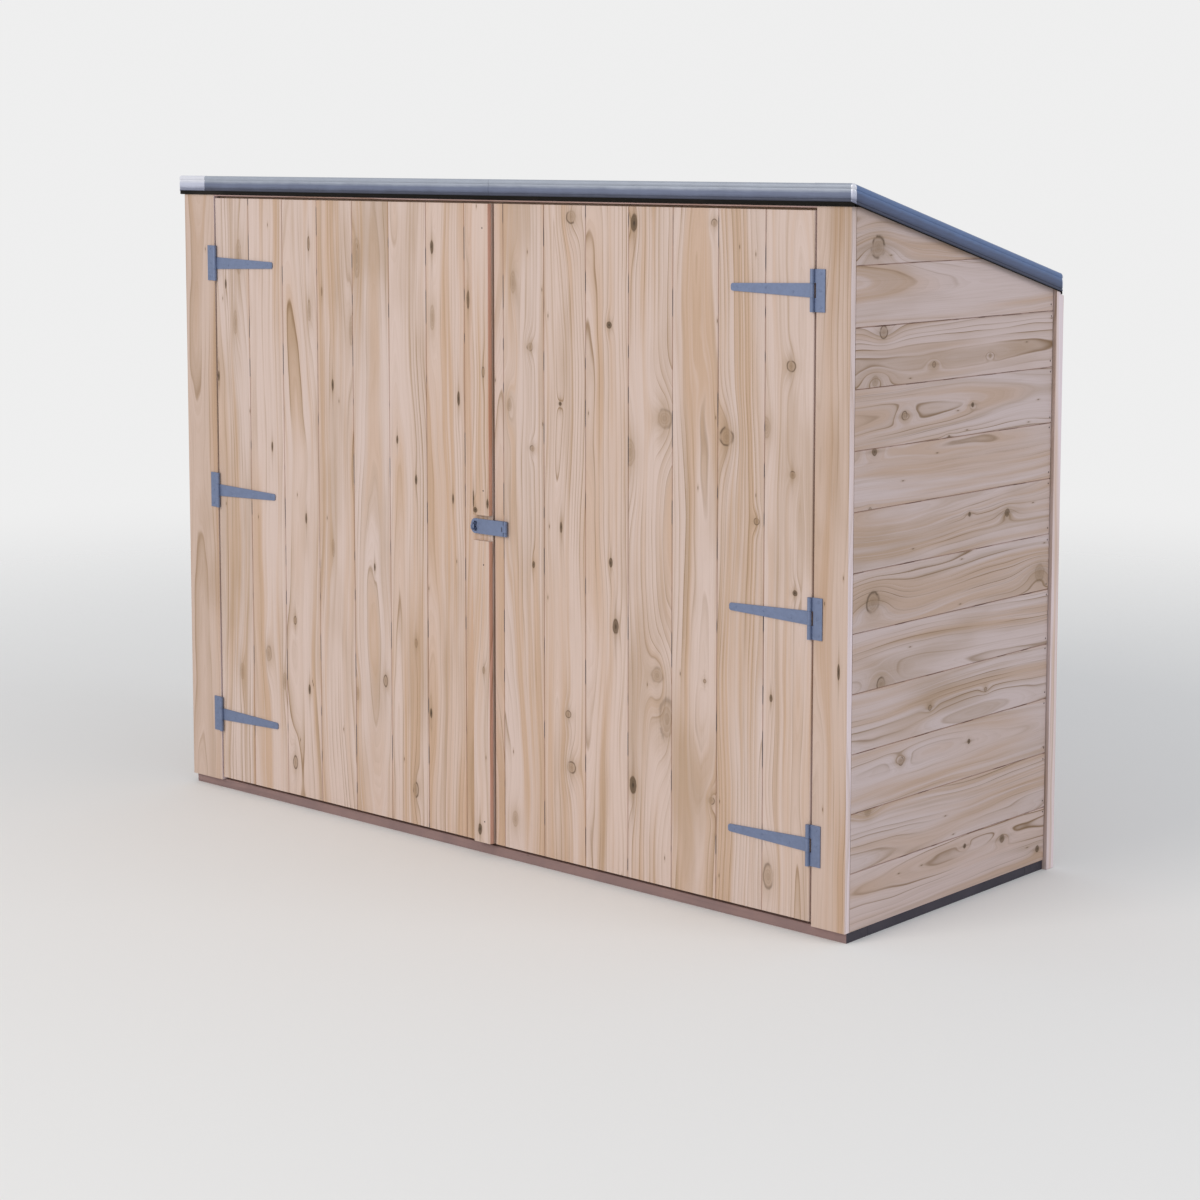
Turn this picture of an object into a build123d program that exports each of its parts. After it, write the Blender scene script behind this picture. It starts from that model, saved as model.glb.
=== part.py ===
from build123d import *
from math import cos, radians, sin, tan
import os

# A closed timber store for bikes: a lean-to box on a flat base frame, with two doors across its front.
# Millimetres. X runs along the front from left to right, Y from the front to the back, Z up.
# The origin is on the ground, under the middle of the whole object.

# Overall sizes
body_width = 2000.0
body_depth = 755.0
roof_front_height = 1500.5
roof_slope = 14.9

# Timber sections
board_thickness = 16.0
base_height = 21.5
base_width = 70.0
base_front_inset = 10.0
base_side_inset = 3.0
cross_bearer_width = 45.0
cross_bearer_count = 5
floor_thickness = 16.0
frame_thickness = 28.0
frame_width = 44.0
post_depth = 44.0
post_setback = 10.0
head_rail_height = 48.0
back_rail_height = 60.0
rear_post_width = 45.0
rear_post_depth = 28.0
rear_post_proud = 8.0
rafter_count = 3
back_stud_count = 4

# Front corner boards, to the left and right of the doors
left_corner_width = 108.5
right_corner_width = 83.3

# Roof
roof_front_overhang = 9.0
roof_side_overhang = 12.0
roof_rear_setback = 6.0
roof_deck_thickness = 16.0
membrane_thickness = 2.0
front_membrane_drop = 45.0
side_membrane_drop = 41.5
trim_wall = 2.0
front_trim_height = 37.0
side_trim_height = 39.5
trim_flange = 40.0
trim_round = 8.0
trim_inner_bevel = 5.0
deck_bevel = 4.0

# Doors
door_thickness = 16.0
door_side_gap = 5.0
door_seam_gap = 6.0
door_clearance = 5.0
door_bottom = 30.0
door_header_height = 27.0
door_seam_x = 40.5
ledge_width = 70.0
ledge_thickness = 18.0
ledge_side_inset = 30.0
ledge_seam_inset = 15.0

# Cover strip over the left door's meeting edge, in two lengths with the hasp between them
strip_width = 50.0
strip_thickness = 12.0
strip_gap_below_hasp = 14.5
strip_gap_over_hasp = 8.5

# T hinges
bottom_hinge_rise = 157.0
top_hinge_drop = 155.5
left_middle_hinge_z = 740.0
right_middle_hinge_z = 644.0
plate_height = 84.0
plate_width = 29.0
strap_length = 205.0
strap_root_height = 28.0
strap_tip_height = 15.0
strap_tip_round = 5.0
hinge_leaf = 2.5
barrel_radius = 4.5
pin_radius = 2.0
pin_standoff = 5.0
pin_inset = 1.5
running_gap = 0.05
knuckle_gap = 0.5
knuckle_notch = 7.5
curl_reach = 5.0
curl_near = 1.5
curl_far = 4.3

# Hasp and staple
hasp_z = 739.0
hasp_height = 33.0
hasp_left_reach = 61.9
hasp_right_reach = 45.0
hasp_plate = 2.5
hasp_leaf_thickness = 2.0
hasp_leaf_length = 34.0
hasp_middle_knuckle = 16.0
hasp_notch = 5.5
hasp_round = 12.0
staple_seam_distance = 48.9
staple_wire_radius = 2.0
staple_leg_offset = 6.5
staple_reach = 22.0
staple_bend_radius = 5.0
staple_plate_width = 22.0
staple_plate_height = 28.0
slot_side_gap = 2.5

# Cutting shapes reach this far past what they cut
cut_margin = 1.0

# Worked-out planes
slope_per_mm = tan(radians(roof_slope))
left_x = -body_width / 2
right_x = body_width / 2
front_y = -(body_depth - staple_reach) / 2
back_y = front_y + body_depth
cladding_back_y = front_y + board_thickness
inner_x = right_x - board_thickness
floor_top = base_height + floor_thickness
rear_post_front_y = back_y - rear_post_depth
back_cladding_inner_y = rear_post_front_y
back_cladding_outer_y = back_cladding_inner_y + board_thickness
back_frame_y = back_cladding_inner_y - frame_thickness
floor_front_y = front_y + door_thickness + door_clearance
post_back_y = cladding_back_y + post_depth
left_corner_edge = left_x + left_corner_width
right_corner_edge = right_x - right_corner_width
left_post_edge = left_corner_edge - post_setback
right_post_edge = right_corner_edge + post_setback
left_door_x = left_corner_edge + door_side_gap
right_door_x = right_corner_edge - door_side_gap
left_meeting_x = door_seam_x - door_seam_gap / 2
right_meeting_x = door_seam_x + door_seam_gap / 2
door_back_y = front_y + door_thickness
bottom_rail_top = floor_top + frame_width
roof_front_y = front_y - roof_front_overhang
roof_back_y = back_y - roof_rear_setback
roof_side_x = right_x + roof_side_overhang
membrane_depth = trim_wall
deck_depth = membrane_depth + membrane_thickness
ceiling_depth = deck_depth + roof_deck_thickness / cos(radians(roof_slope))
rafter_depth = ceiling_depth + frame_width / cos(radians(roof_slope))
edge_layers = trim_wall + membrane_thickness
door_header_z = roof_front_height - roof_front_overhang * slope_per_mm - ceiling_depth - door_header_height
door_top = door_header_z - door_clearance
bottom_hinge_z = door_bottom + bottom_hinge_rise
top_hinge_z = door_top - top_hinge_drop
left_hinge_heights = [bottom_hinge_z, left_middle_hinge_z, top_hinge_z]
right_hinge_heights = [bottom_hinge_z, right_middle_hinge_z, top_hinge_z]
hasp_low = hasp_z - hasp_height / 2
hasp_high = hasp_z + hasp_height / 2
hasp_left_x = door_seam_x - hasp_left_reach
hasp_right_x = door_seam_x + hasp_right_reach
hasp_pin_x = hasp_right_x - barrel_radius
staple_x = door_seam_x - staple_seam_distance
pin_y = front_y - pin_standoff
barrel_front_y = pin_y - barrel_radius - cut_margin
left_pin_x = left_door_x + pin_inset
right_pin_x = right_door_x - pin_inset


def block(x0, x1, y0, y1, z0, z1):
    return Pos((x0 + x1) / 2, (y0 + y1) / 2, (z0 + z1) / 2) * Box(x1 - x0, y1 - y0, z1 - z0)


def roof_z(y, depth):
    # Height of the plane that lies `depth` straight below the roof's top
    return roof_front_height - (y - roof_front_y) * slope_per_mm - depth


def outline(points):
    # A flat face over the points, which faces up whichever way round they run
    following = points[1:] + points[:1]
    twice_area = sum(a * d - b * c for (a, b), (c, d) in zip(points, following))
    ordered = points if twice_area > 0 else points[::-1]
    return Polygon(*ordered, align=None)


def side_profile(x0, x1, points):
    # A prism along X over an outline of (y, z) points
    return Plane((x0, 0, 0), x_dir=(0, 1, 0), z_dir=(1, 0, 0)) * extrude(outline(points), amount=x1 - x0)


def under_roof(x0, x1, y0, y1, z0, depth):
    # A block whose top follows the roof
    return side_profile(x0, x1, [(y0, z0), (y1, z0), (y1, roof_z(y1, depth)), (y0, roof_z(y0, depth))])


def roof_layer(x0, x1, y0, y1, top_depth, bottom_depth):
    # A slab with its top and bottom both on the roof's slope
    return side_profile(
        x0,
        x1,
        [
            (y0, roof_z(y0, bottom_depth)),
            (y1, roof_z(y1, bottom_depth)),
            (y1, roof_z(y1, top_depth)),
            (y0, roof_z(y0, top_depth)),
        ],
    )


def upright(radius, x, y, z0, z1):
    return Pos(x, y, (z0 + z1) / 2) * Cylinder(radius, z1 - z0)


def spread(first, last, count):
    step = (last - first) / (count - 1)
    return [first + step * i for i in range(count)]


# Base frame and floor
def base_front_bearer():
    y0 = front_y + base_front_inset
    return block(left_x + base_side_inset, right_x - base_side_inset, y0, y0 + base_width, 0, base_height)


def base_rear_bearer():
    y1 = rear_post_front_y
    return block(left_x + base_side_inset, right_x - base_side_inset, y1 - base_width, y1, 0, base_height)


def base_cross_bearers():
    reach = right_x - base_side_inset - cross_bearer_width / 2
    y0 = front_y + base_front_inset + base_width
    y1 = rear_post_front_y - base_width
    half = cross_bearer_width / 2
    centres = spread(-reach, reach, cross_bearer_count)
    return [block(x - half, x + half, y0, y1, 0, base_height) for x in centres]


def floor_deck():
    return block(-inner_x, inner_x, floor_front_y, back_cladding_inner_y, base_height, floor_top)


# Walls: corner boards, cladding and the frame behind them
def left_corner_board():
    return under_roof(left_x, left_corner_edge, front_y, cladding_back_y, base_height, ceiling_depth)


def right_corner_board():
    return under_roof(right_corner_edge, right_x, front_y, cladding_back_y, base_height, ceiling_depth)


def left_front_post():
    return under_roof(-inner_x, left_post_edge, cladding_back_y, post_back_y, floor_top, ceiling_depth)


def right_front_post():
    return under_roof(right_post_edge, inner_x, cladding_back_y, post_back_y, floor_top, ceiling_depth)


def door_header():
    z0 = door_header_z
    return under_roof(left_corner_edge, right_corner_edge, front_y, floor_front_y, z0, ceiling_depth)


def head_rail():
    z0 = roof_z(floor_front_y, ceiling_depth) - head_rail_height
    return under_roof(left_post_edge, right_post_edge, floor_front_y, post_back_y, z0, ceiling_depth)


def left_side_cladding():
    return under_roof(left_x, -inner_x, cladding_back_y, rear_post_front_y, base_height, ceiling_depth)


def right_side_cladding():
    return under_roof(inner_x, right_x, cladding_back_y, rear_post_front_y, base_height, ceiling_depth)


def rear_post(side):
    outer = right_x + rear_post_proud
    inner = outer - rear_post_width
    x0, x1 = sorted([side * inner, side * outer])
    post = under_roof(x0, x1, rear_post_front_y, back_y, 0, ceiling_depth)
    # The post stands behind the base, on the ground, and the roof's edges hang down over its top
    far_y = back_y + cut_margin
    lip = roof_layer(x0, x1, roof_back_y - edge_layers, far_y, 0, front_membrane_drop)
    lip_x = sorted([side * (roof_side_x - edge_layers), side * (roof_side_x + cut_margin)])
    side_lip = roof_layer(lip_x[0], lip_x[1], rear_post_front_y - cut_margin, far_y, 0, side_membrane_drop)
    return post - lip - side_lip


def back_cladding():
    reach = right_x + rear_post_proud - rear_post_width
    return under_roof(-reach, reach, back_cladding_inner_y, back_cladding_outer_y, base_height, ceiling_depth)


def side_bottom_rail(side):
    x0, x1 = sorted([side * (inner_x - frame_thickness), side * inner_x])
    return block(x0, x1, post_back_y, back_frame_y, floor_top, bottom_rail_top)


def side_top_rail(side):
    x0, x1 = sorted([side * (inner_x - frame_thickness), side * inner_x])
    return roof_layer(x0, x1, post_back_y, back_frame_y, ceiling_depth, rafter_depth)


def side_studs():
    middle = (post_back_y + back_frame_y) / 2
    y0 = middle - frame_width / 2
    y1 = middle + frame_width / 2
    left = under_roof(-inner_x, -inner_x + frame_thickness, y0, y1, bottom_rail_top, rafter_depth)
    right = under_roof(inner_x - frame_thickness, inner_x, y0, y1, bottom_rail_top, rafter_depth)
    return [left, right]


def back_bottom_rail():
    return block(-inner_x, inner_x, back_frame_y, back_cladding_inner_y, floor_top, bottom_rail_top)


def back_top_rail():
    z0 = roof_z(back_frame_y, ceiling_depth) - back_rail_height
    return under_roof(-inner_x, inner_x, back_frame_y, back_cladding_inner_y, z0, ceiling_depth)


def back_studs():
    z1 = roof_z(back_frame_y, ceiling_depth) - back_rail_height
    half = frame_width / 2
    reach = inner_x - half
    return [
        block(x - half, x + half, back_frame_y, back_cladding_inner_y, bottom_rail_top, z1)
        for x in spread(-reach, reach, back_stud_count)
    ]


# Roof
def roof_rafters():
    half = frame_thickness / 2
    centres = spread(-inner_x, inner_x, rafter_count + 2)[1:-1]
    return [
        roof_layer(x - half, x + half, post_back_y, back_frame_y, ceiling_depth, rafter_depth)
        for x in centres
    ]


def edge_bar(edge, corners, radius=0):
    # A bar along one edge of the roof. Its section is a list of (distance in from the edge, height over the
    # roof's top) points, and its first corner is rounded where a radius is given.
    sine = sin(radians(roof_slope))
    cosine = cos(radians(roof_slope))
    length, slope, plane, run = {
        "front": (
            2 * roof_side_x,
            slope_per_mm,
            Plane((-roof_side_x, roof_front_y, roof_front_height), x_dir=(0, 1, 0), z_dir=(1, 0, 0)),
            (1, 0, 0),
        ),
        "rear": (
            2 * roof_side_x,
            -slope_per_mm,
            Plane((roof_side_x, roof_back_y, roof_z(roof_back_y, 0)), x_dir=(0, -1, 0), z_dir=(-1, 0, 0)),
            (-1, 0, 0),
        ),
        "left": (
            (roof_back_y - roof_front_y) / cosine,
            0,
            Plane((-roof_side_x, roof_front_y, roof_front_height), x_dir=(1, 0, 0), z_dir=(0, -1, 0)),
            (0, cosine, -sine),
        ),
        "right": (
            (roof_back_y - roof_front_y) / cosine,
            0,
            Plane((roof_side_x, roof_front_y, roof_front_height), x_dir=(-1, 0, 0), z_dir=(0, 1, 0)),
            (0, cosine, -sine),
        ),
    }[edge]
    sheared = [(inward, height - slope * inward) for inward, height in corners]
    section = outline(sheared)
    if radius:
        first = Vector(*sheared[0])
        section = fillet(section.vertices().sort_by_distance(first)[0], radius)
    return extrude(plane * section, amount=length, dir=run)


def bevel_cuts(inward, height, bevel):
    # What comes off the four top edges of a roof layer whose corner is at this distance and height
    corner = [
        (inward - cut_margin, height + cut_margin),
        (inward + bevel + cut_margin, height + cut_margin),
        (inward - cut_margin, height - bevel - cut_margin),
    ]
    return [edge_bar(edge, corner) for edge in ("front", "rear", "left", "right")]


def deck_shape(bottom_depth):
    reach = roof_side_x - edge_layers
    y0 = roof_front_y + edge_layers
    y1 = roof_back_y - edge_layers
    slab = roof_layer(-reach, reach, y0, y1, deck_depth, bottom_depth)
    return slab - bevel_cuts(edge_layers, -deck_depth, deck_bevel)


def roof_deck():
    return deck_shape(ceiling_depth)


def roof_membrane():
    # A tray turned upside down. Its sides hang less far than its front and its rear, which are alike.
    reach = roof_side_x - trim_wall
    y0 = roof_front_y + trim_wall
    y1 = roof_back_y - trim_wall
    lowest = front_membrane_drop + cut_margin
    tray = roof_layer(-reach, reach, y0, y1, membrane_depth, front_membrane_drop)
    tray -= bevel_cuts(trim_wall, -membrane_depth, trim_inner_bevel)
    tray -= deck_shape(lowest)
    side_y0 = y0 + membrane_thickness
    side_y1 = y1 - membrane_thickness
    for side in (-1, 1):
        x0, x1 = sorted([side * (roof_side_x - edge_layers - cut_margin), side * (reach + cut_margin)])
        tray -= roof_layer(x0, x1, side_y0, side_y1, side_membrane_drop, lowest)
    return tray


def roof_trim(edge):
    # A wall with a flange on top and a rounded nose, mitred at both ends. The rear is as high as the front.
    trim_height = side_trim_height if edge in ("left", "right") else front_trim_height
    corners = [
        (0, 0),
        (trim_flange, 0),
        (trim_flange, -trim_wall),
        (trim_wall + trim_inner_bevel, -trim_wall),
        (trim_wall, -trim_wall - trim_inner_bevel),
        (trim_wall, -trim_height),
        (0, -trim_height),
    ]
    near_y = roof_front_y + trim_flange
    far_y = roof_back_y - trim_flange
    inner_x1 = roof_side_x - trim_flange
    outer = {
        "front_left": (-roof_side_x, roof_front_y),
        "front_right": (roof_side_x, roof_front_y),
        "rear_left": (-roof_side_x, roof_back_y),
        "rear_right": (roof_side_x, roof_back_y),
    }
    inner = {
        "front_left": (-inner_x1, near_y),
        "front_right": (inner_x1, near_y),
        "rear_left": (-inner_x1, far_y),
        "rear_right": (inner_x1, far_y),
    }
    first, last = [name for name in outer if edge in name]
    plan = outline([outer[first], outer[last], inner[last], inner[first]])
    between_mitres = extrude(plan, amount=roof_front_height + cut_margin)
    return edge_bar(edge, corners, radius=trim_round) & between_mitres


# Doors
def left_door_panel():
    return block(left_door_x, left_meeting_x, front_y, door_back_y, door_bottom, door_top)


def right_door_panel():
    return block(right_meeting_x, right_door_x, front_y, door_back_y, door_bottom, door_top)


def door_ledges(x0, x1, heights):
    half = ledge_width / 2
    return [block(x0, x1, door_back_y, door_back_y + ledge_thickness, z - half, z + half) for z in heights]


def door_braces(hinge_x, free_x, heights):
    # One slanted brace in each bay, rising from the hinge side to the free side
    half = ledge_width / 2
    toward_hinge = half if hinge_x > free_x else -half
    braces = []
    for low, high in zip(heights[:-1], heights[1:]):
        z0 = low + half
        z1 = high - half
        corners = [
            (hinge_x, z0),
            (hinge_x - 2 * toward_hinge, z0),
            (free_x, z1),
            (free_x + 2 * toward_hinge, z1),
        ]
        back = Plane((0, door_back_y + ledge_thickness, 0), x_dir=(1, 0, 0), z_dir=(0, -1, 0))
        braces.append(extrude(back * outline(corners), amount=ledge_thickness))
    return braces


def cover_strip():
    x0 = left_meeting_x - strip_width
    y0 = front_y - strip_thickness
    lower = block(x0, left_meeting_x, y0, front_y, door_bottom, hasp_low - strip_gap_below_hasp)
    upper = block(x0, left_meeting_x, y0, front_y, hasp_high + strip_gap_over_hasp, door_top)
    return [lower, upper]


# T hinges: the plate on the corner board carries the pin, and the strap on the door turns about it
def hinge_plate(pin_x, z, away):
    # `away` is -1 where the plate lies to the left of the pin, and 1 where it lies to the right
    z0 = z - plate_height / 2
    z1 = z + plate_height / 2
    middle = strap_root_height / 2 + knuckle_gap
    span = sorted([pin_x + away * plate_width, pin_x + away * curl_reach])
    leaf = block(span[0], span[1], front_y - hinge_leaf, front_y, z0, z1)
    curl_span = sorted([pin_x, pin_x + away * curl_reach])
    curl = block(curl_span[0], curl_span[1], pin_y + curl_near, pin_y + curl_far, z0, z1)
    barrel = upright(barrel_radius, pin_x, pin_y, z0, z1)
    gap_span = sorted([pin_x - away * knuckle_notch, pin_x + away * knuckle_notch])
    gap = block(gap_span[0], gap_span[1], barrel_front_y, front_y, z - middle, z + middle)
    pin = upright(pin_radius, pin_x, pin_y, z0, z1)
    return (leaf + curl + barrel - gap) + pin


def hinge_strap(pin_x, z, toward):
    # `toward` points from the pin to the strap's tip: 1 to the right, -1 to the left
    root = pin_x + toward * curl_reach
    tip = pin_x + toward * strap_length
    half_root = strap_root_height / 2
    half_tip = strap_tip_height / 2
    corners = [(root, z - half_root), (tip, z - half_tip), (tip, z + half_tip), (root, z + half_root)]
    tip_corners = outline(corners).vertices().sort_by(Axis.X, reverse=toward > 0)[:2]
    face = Plane((0, front_y, 0), x_dir=(1, 0, 0), z_dir=(0, -1, 0)) * fillet(tip_corners, strap_tip_round)
    leaf = extrude(face, amount=hinge_leaf)
    curl_span = sorted([pin_x, root])
    z0 = z - half_root
    z1 = z + half_root
    curl = block(curl_span[0], curl_span[1], pin_y + curl_near, pin_y + curl_far, z0, z1)
    barrel = upright(barrel_radius, pin_x, pin_y, z0, z1)
    bore = upright(pin_radius + running_gap, pin_x, pin_y, z0, z1)
    return leaf + curl + barrel - bore


# Hasp: a leaf under the flap on the right door, and a staple on the left door that stands through the flap
def hasp_leaf():
    x0 = hasp_pin_x - hasp_leaf_length
    plate = block(x0, hasp_pin_x, front_y - hasp_leaf_thickness, front_y, hasp_low, hasp_high)
    barrel = upright(barrel_radius, hasp_pin_x, pin_y, hasp_low, hasp_high)
    half = hasp_middle_knuckle / 2 + knuckle_gap
    gap = block(
        hasp_pin_x - knuckle_notch,
        hasp_pin_x + knuckle_notch,
        barrel_front_y,
        front_y,
        hasp_z - half,
        hasp_z + half,
    )
    pin = upright(pin_radius, hasp_pin_x, pin_y, hasp_low, hasp_high)
    return (plate + barrel - gap) + pin


def hasp_flap():
    corners = [
        (hasp_left_x, hasp_low),
        (hasp_pin_x, hasp_low),
        (hasp_pin_x, hasp_high),
        (hasp_left_x, hasp_high),
    ]
    rounded = fillet(outline(corners).vertices().sort_by(Axis.X)[:2], hasp_round)
    slot_height = 2 * (staple_leg_offset + staple_wire_radius + slot_side_gap)
    slot_width = 2 * (staple_wire_radius + slot_side_gap)
    rounded -= Pos(staple_x, hasp_z) * Rectangle(slot_width, slot_height)
    face = Plane((0, pin_y, 0), x_dir=(1, 0, 0), z_dir=(0, -1, 0)) * rounded
    plate = extrude(face, amount=hasp_plate)
    half = hasp_middle_knuckle / 2
    barrel = upright(barrel_radius, hasp_pin_x, pin_y, hasp_z - half, hasp_z + half)
    edge = half + knuckle_gap
    notches = [
        block(hasp_pin_x - hasp_notch, hasp_pin_x + hasp_notch, barrel_front_y, front_y, low, high)
        for low, high in [(hasp_low, hasp_z - half), (hasp_z + half, hasp_high)]
    ]
    bore = upright(pin_radius + running_gap, hasp_pin_x, pin_y, hasp_z - edge, hasp_z + edge)
    return plate - notches + barrel - bore


def hasp_staple():
    z0 = hasp_z - staple_leg_offset
    z1 = hasp_z + staple_leg_offset
    tip = front_y - staple_reach + staple_wire_radius
    root = front_y - hasp_leaf_thickness / 2
    path = FilletPolyline(
        (staple_x, root, z0),
        (staple_x, tip, z0),
        (staple_x, tip, z1),
        (staple_x, root, z1),
        radius=staple_bend_radius,
    )
    start = Plane(origin=path @ 0, z_dir=path % 0)
    loop = sweep(start * Circle(staple_wire_radius), path=path)
    half_width = staple_plate_width / 2
    half_height = staple_plate_height / 2
    plate = block(
        staple_x - half_width,
        staple_x + half_width,
        front_y - hasp_leaf_thickness,
        front_y,
        hasp_z - half_height,
        hasp_z + half_height,
    )
    return plate + loop


left_inner = left_door_x + ledge_side_inset
left_free = left_meeting_x - ledge_seam_inset
right_inner = right_door_x - ledge_side_inset
right_free = right_meeting_x + ledge_seam_inset

pieces = {
    "base_front_bearer": base_front_bearer(),
    "base_rear_bearer": base_rear_bearer(),
    "base_cross_bearers": base_cross_bearers(),
    "floor_deck": floor_deck(),
    "left_corner_board": left_corner_board(),
    "right_corner_board": right_corner_board(),
    "left_front_post": left_front_post(),
    "right_front_post": right_front_post(),
    "door_header": door_header(),
    "head_rail": head_rail(),
    "left_side_cladding": left_side_cladding(),
    "right_side_cladding": right_side_cladding(),
    "left_rear_post": rear_post(-1),
    "right_rear_post": rear_post(1),
    "back_cladding": back_cladding(),
    "left_bottom_rail": side_bottom_rail(-1),
    "right_bottom_rail": side_bottom_rail(1),
    "left_top_rail": side_top_rail(-1),
    "right_top_rail": side_top_rail(1),
    "side_studs": side_studs(),
    "back_bottom_rail": back_bottom_rail(),
    "back_top_rail": back_top_rail(),
    "back_studs": back_studs(),
    "roof_rafters": roof_rafters(),
    "roof_deck": roof_deck(),
    "roof_membrane": roof_membrane(),
    "roof_trim_front": roof_trim("front"),
    "roof_trim_rear": roof_trim("rear"),
    "roof_trim_left": roof_trim("left"),
    "roof_trim_right": roof_trim("right"),
    "left_hinge_plates": [hinge_plate(left_pin_x, z, -1) for z in left_hinge_heights],
    "right_hinge_plates": [hinge_plate(right_pin_x, z, 1) for z in right_hinge_heights],
    "left_door_panel": left_door_panel(),
    "left_door_ledges": door_ledges(left_inner, left_free, left_hinge_heights),
    "left_door_braces": door_braces(left_inner, left_free, left_hinge_heights),
    "left_hinge_straps": [hinge_strap(left_pin_x, z, 1) for z in left_hinge_heights],
    "cover_strip": cover_strip(),
    "hasp_staple": hasp_staple(),
    "right_door_panel": right_door_panel(),
    "right_door_ledges": door_ledges(right_free, right_inner, right_hinge_heights),
    "right_door_braces": door_braces(right_inner, right_free, right_hinge_heights),
    "right_hinge_straps": [hinge_strap(right_pin_x, z, -1) for z in right_hinge_heights],
    "hasp_leaf": hasp_leaf(),
    "hasp_flap": hasp_flap(),
}

os.makedirs("parts", exist_ok=True)
for name, shape in pieces.items():
    shapes = shape if isinstance(shape, list) else [shape]
    solids = [solid for piece in shapes for solid in piece.solids()]
    export_step(Compound(solids), f"parts/{name}.step")

print(f"door pins at x {left_pin_x:.1f} and {right_pin_x:.1f}, y {pin_y:.1f}; hasp pin at x {hasp_pin_x:.1f}")
print(f"front face at y {front_y:.1f}, back at y {back_y:.1f}")
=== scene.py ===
import math
import random

import bmesh
import bpy
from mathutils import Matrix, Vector

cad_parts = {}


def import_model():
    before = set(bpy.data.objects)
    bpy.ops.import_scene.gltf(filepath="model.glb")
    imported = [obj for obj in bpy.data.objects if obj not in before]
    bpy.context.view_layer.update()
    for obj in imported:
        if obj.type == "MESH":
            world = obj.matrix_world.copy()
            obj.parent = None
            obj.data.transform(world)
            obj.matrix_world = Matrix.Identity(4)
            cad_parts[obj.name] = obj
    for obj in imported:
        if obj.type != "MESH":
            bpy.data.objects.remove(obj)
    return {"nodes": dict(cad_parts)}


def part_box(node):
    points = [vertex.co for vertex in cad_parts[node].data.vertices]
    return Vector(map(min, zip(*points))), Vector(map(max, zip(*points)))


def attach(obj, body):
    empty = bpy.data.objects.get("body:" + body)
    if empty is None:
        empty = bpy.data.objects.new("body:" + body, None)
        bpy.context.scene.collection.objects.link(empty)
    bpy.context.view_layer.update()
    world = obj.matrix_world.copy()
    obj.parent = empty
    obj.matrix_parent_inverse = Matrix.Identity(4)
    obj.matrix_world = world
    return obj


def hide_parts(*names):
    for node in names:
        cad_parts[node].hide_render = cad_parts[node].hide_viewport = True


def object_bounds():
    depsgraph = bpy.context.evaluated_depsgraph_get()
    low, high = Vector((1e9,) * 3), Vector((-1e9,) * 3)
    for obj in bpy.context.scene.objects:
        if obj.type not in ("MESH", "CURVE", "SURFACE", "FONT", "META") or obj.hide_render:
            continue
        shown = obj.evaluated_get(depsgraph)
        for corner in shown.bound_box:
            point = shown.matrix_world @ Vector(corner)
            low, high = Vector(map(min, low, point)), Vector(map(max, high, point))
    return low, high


# The bike store's looks. Metres: X runs along the front, Y from the doors to the back wall, Z up.

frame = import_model()
cad_low, cad_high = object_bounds()

# Boards
PITCH = 0.120
DECK_PITCH = 0.096
SIDE_SEAM = 0.020
LEAST_BOARD = 0.004
GAP = 0.0002
JOINT_BEVEL = 0.0012
TONGUE = 0.006
TONGUE_THICKNESS = 0.005
TONGUE_PLAY = 0.0003
POST_EASE = 0.0012
TIMBER_EASE = 0.002
BRACE_EASE = 0.003
BASE_EASE = 0.0015
STATION = 0.18
WANDER = 0.00022
MOST_SET_IN = 0.00025
MOST_TRIMMED = 0.0004
SIDE_END_GAPS = (0.0007, 0.0018)
KNOTS_PER_BOARD = 6
ROOF_BOARD = 0.016
ROOF_BOARD_SHY = 0.0006
ROOF_BOARD_SPARE = 0.010

# Softwood, in metres: how wide its rings are, and how far a log's pith wanders
RING = 0.0095
FINE_RING = 0.0021
PITH_WANDER = (0.046, 0.052)

# Edge trim of the roof
TRIM_FLANGE = 0.040
TRIM_WALL = 0.002
TRIM_NOSE = 0.008
TRIM_BEVEL = 0.005
TRIM_SET_IN = 0.0004
TRIM_GROOVE = 0.0012
TRIM_CROWN = 0.0004
TRIM_FACE_TOP = 0.0150
TRIM_FACE_FOOT = 0.0062
CORNER_PIECE = 0.098
CORNER_ROUND = 0.008
TRIM_JOINT_X = 0.036
TRIM_JOINT_GAP = 0.0006
# Heights under the roof's top over which the trim's painted highlight on its nose and its painted shade
# along its foot fade in
TRIM_HIGHLIGHT_FADE = (-0.0225, -0.0125)
TRIM_FOOT_SHADE_FADE = (-0.0365, -0.0240)

# Rubber sheet of the roof
SHEET_GRID = 0.025
SHEET_MARGIN = 0.012
SHEET_CREASES = 14
SHEET_DIP = 0.0005
DEEPEST_DIP = 0.0015
DIP_FADE = 0.03

# Fasteners. A profile's points are shares of the head's radius and height, from its rim to its middle.
SCREW_RADIUS = 0.0027
STRAP_SCREW_RADIUS = 0.9 * SCREW_RADIUS
SCREW_HEIGHT = 0.0009
SCREW_PROFILE = [(1.0, 0.0), (0.96, 0.35), (0.80, 0.68), (0.62, 0.86), (0.44, 0.95), (0.22, 1.0), (0.0, 0.4)]
RECESS_REACH = 0.70
RECESS_HALF_WIDTH = 0.15
RECESS_DEPTH = 0.55
NAIL_RADIUS = 0.0017
NAIL_HEIGHT = 0.0003
NAIL_PROFILE = [(1.0, -0.4), (1.0, 0.55), (0.75, 1.0), (0.0, 0.85)]
STRIP_NAIL_X = 0.0205
STRIP_NAIL_HEIGHTS = (1.393, 0.819, 0.655, 0.079)
SIDE_NAIL_RISES = (-0.011, 0.013)
SIDE_NAIL_INSETS = (0.007, 0.010)
SIDE_NAIL_STRAY = 0.002
SIDE_NAIL_ROOM = 0.03
RIVET_WIDTH = 0.0042
RIVET_HEIGHT = 0.0125
RIVET_RISE = 0.0007
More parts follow.
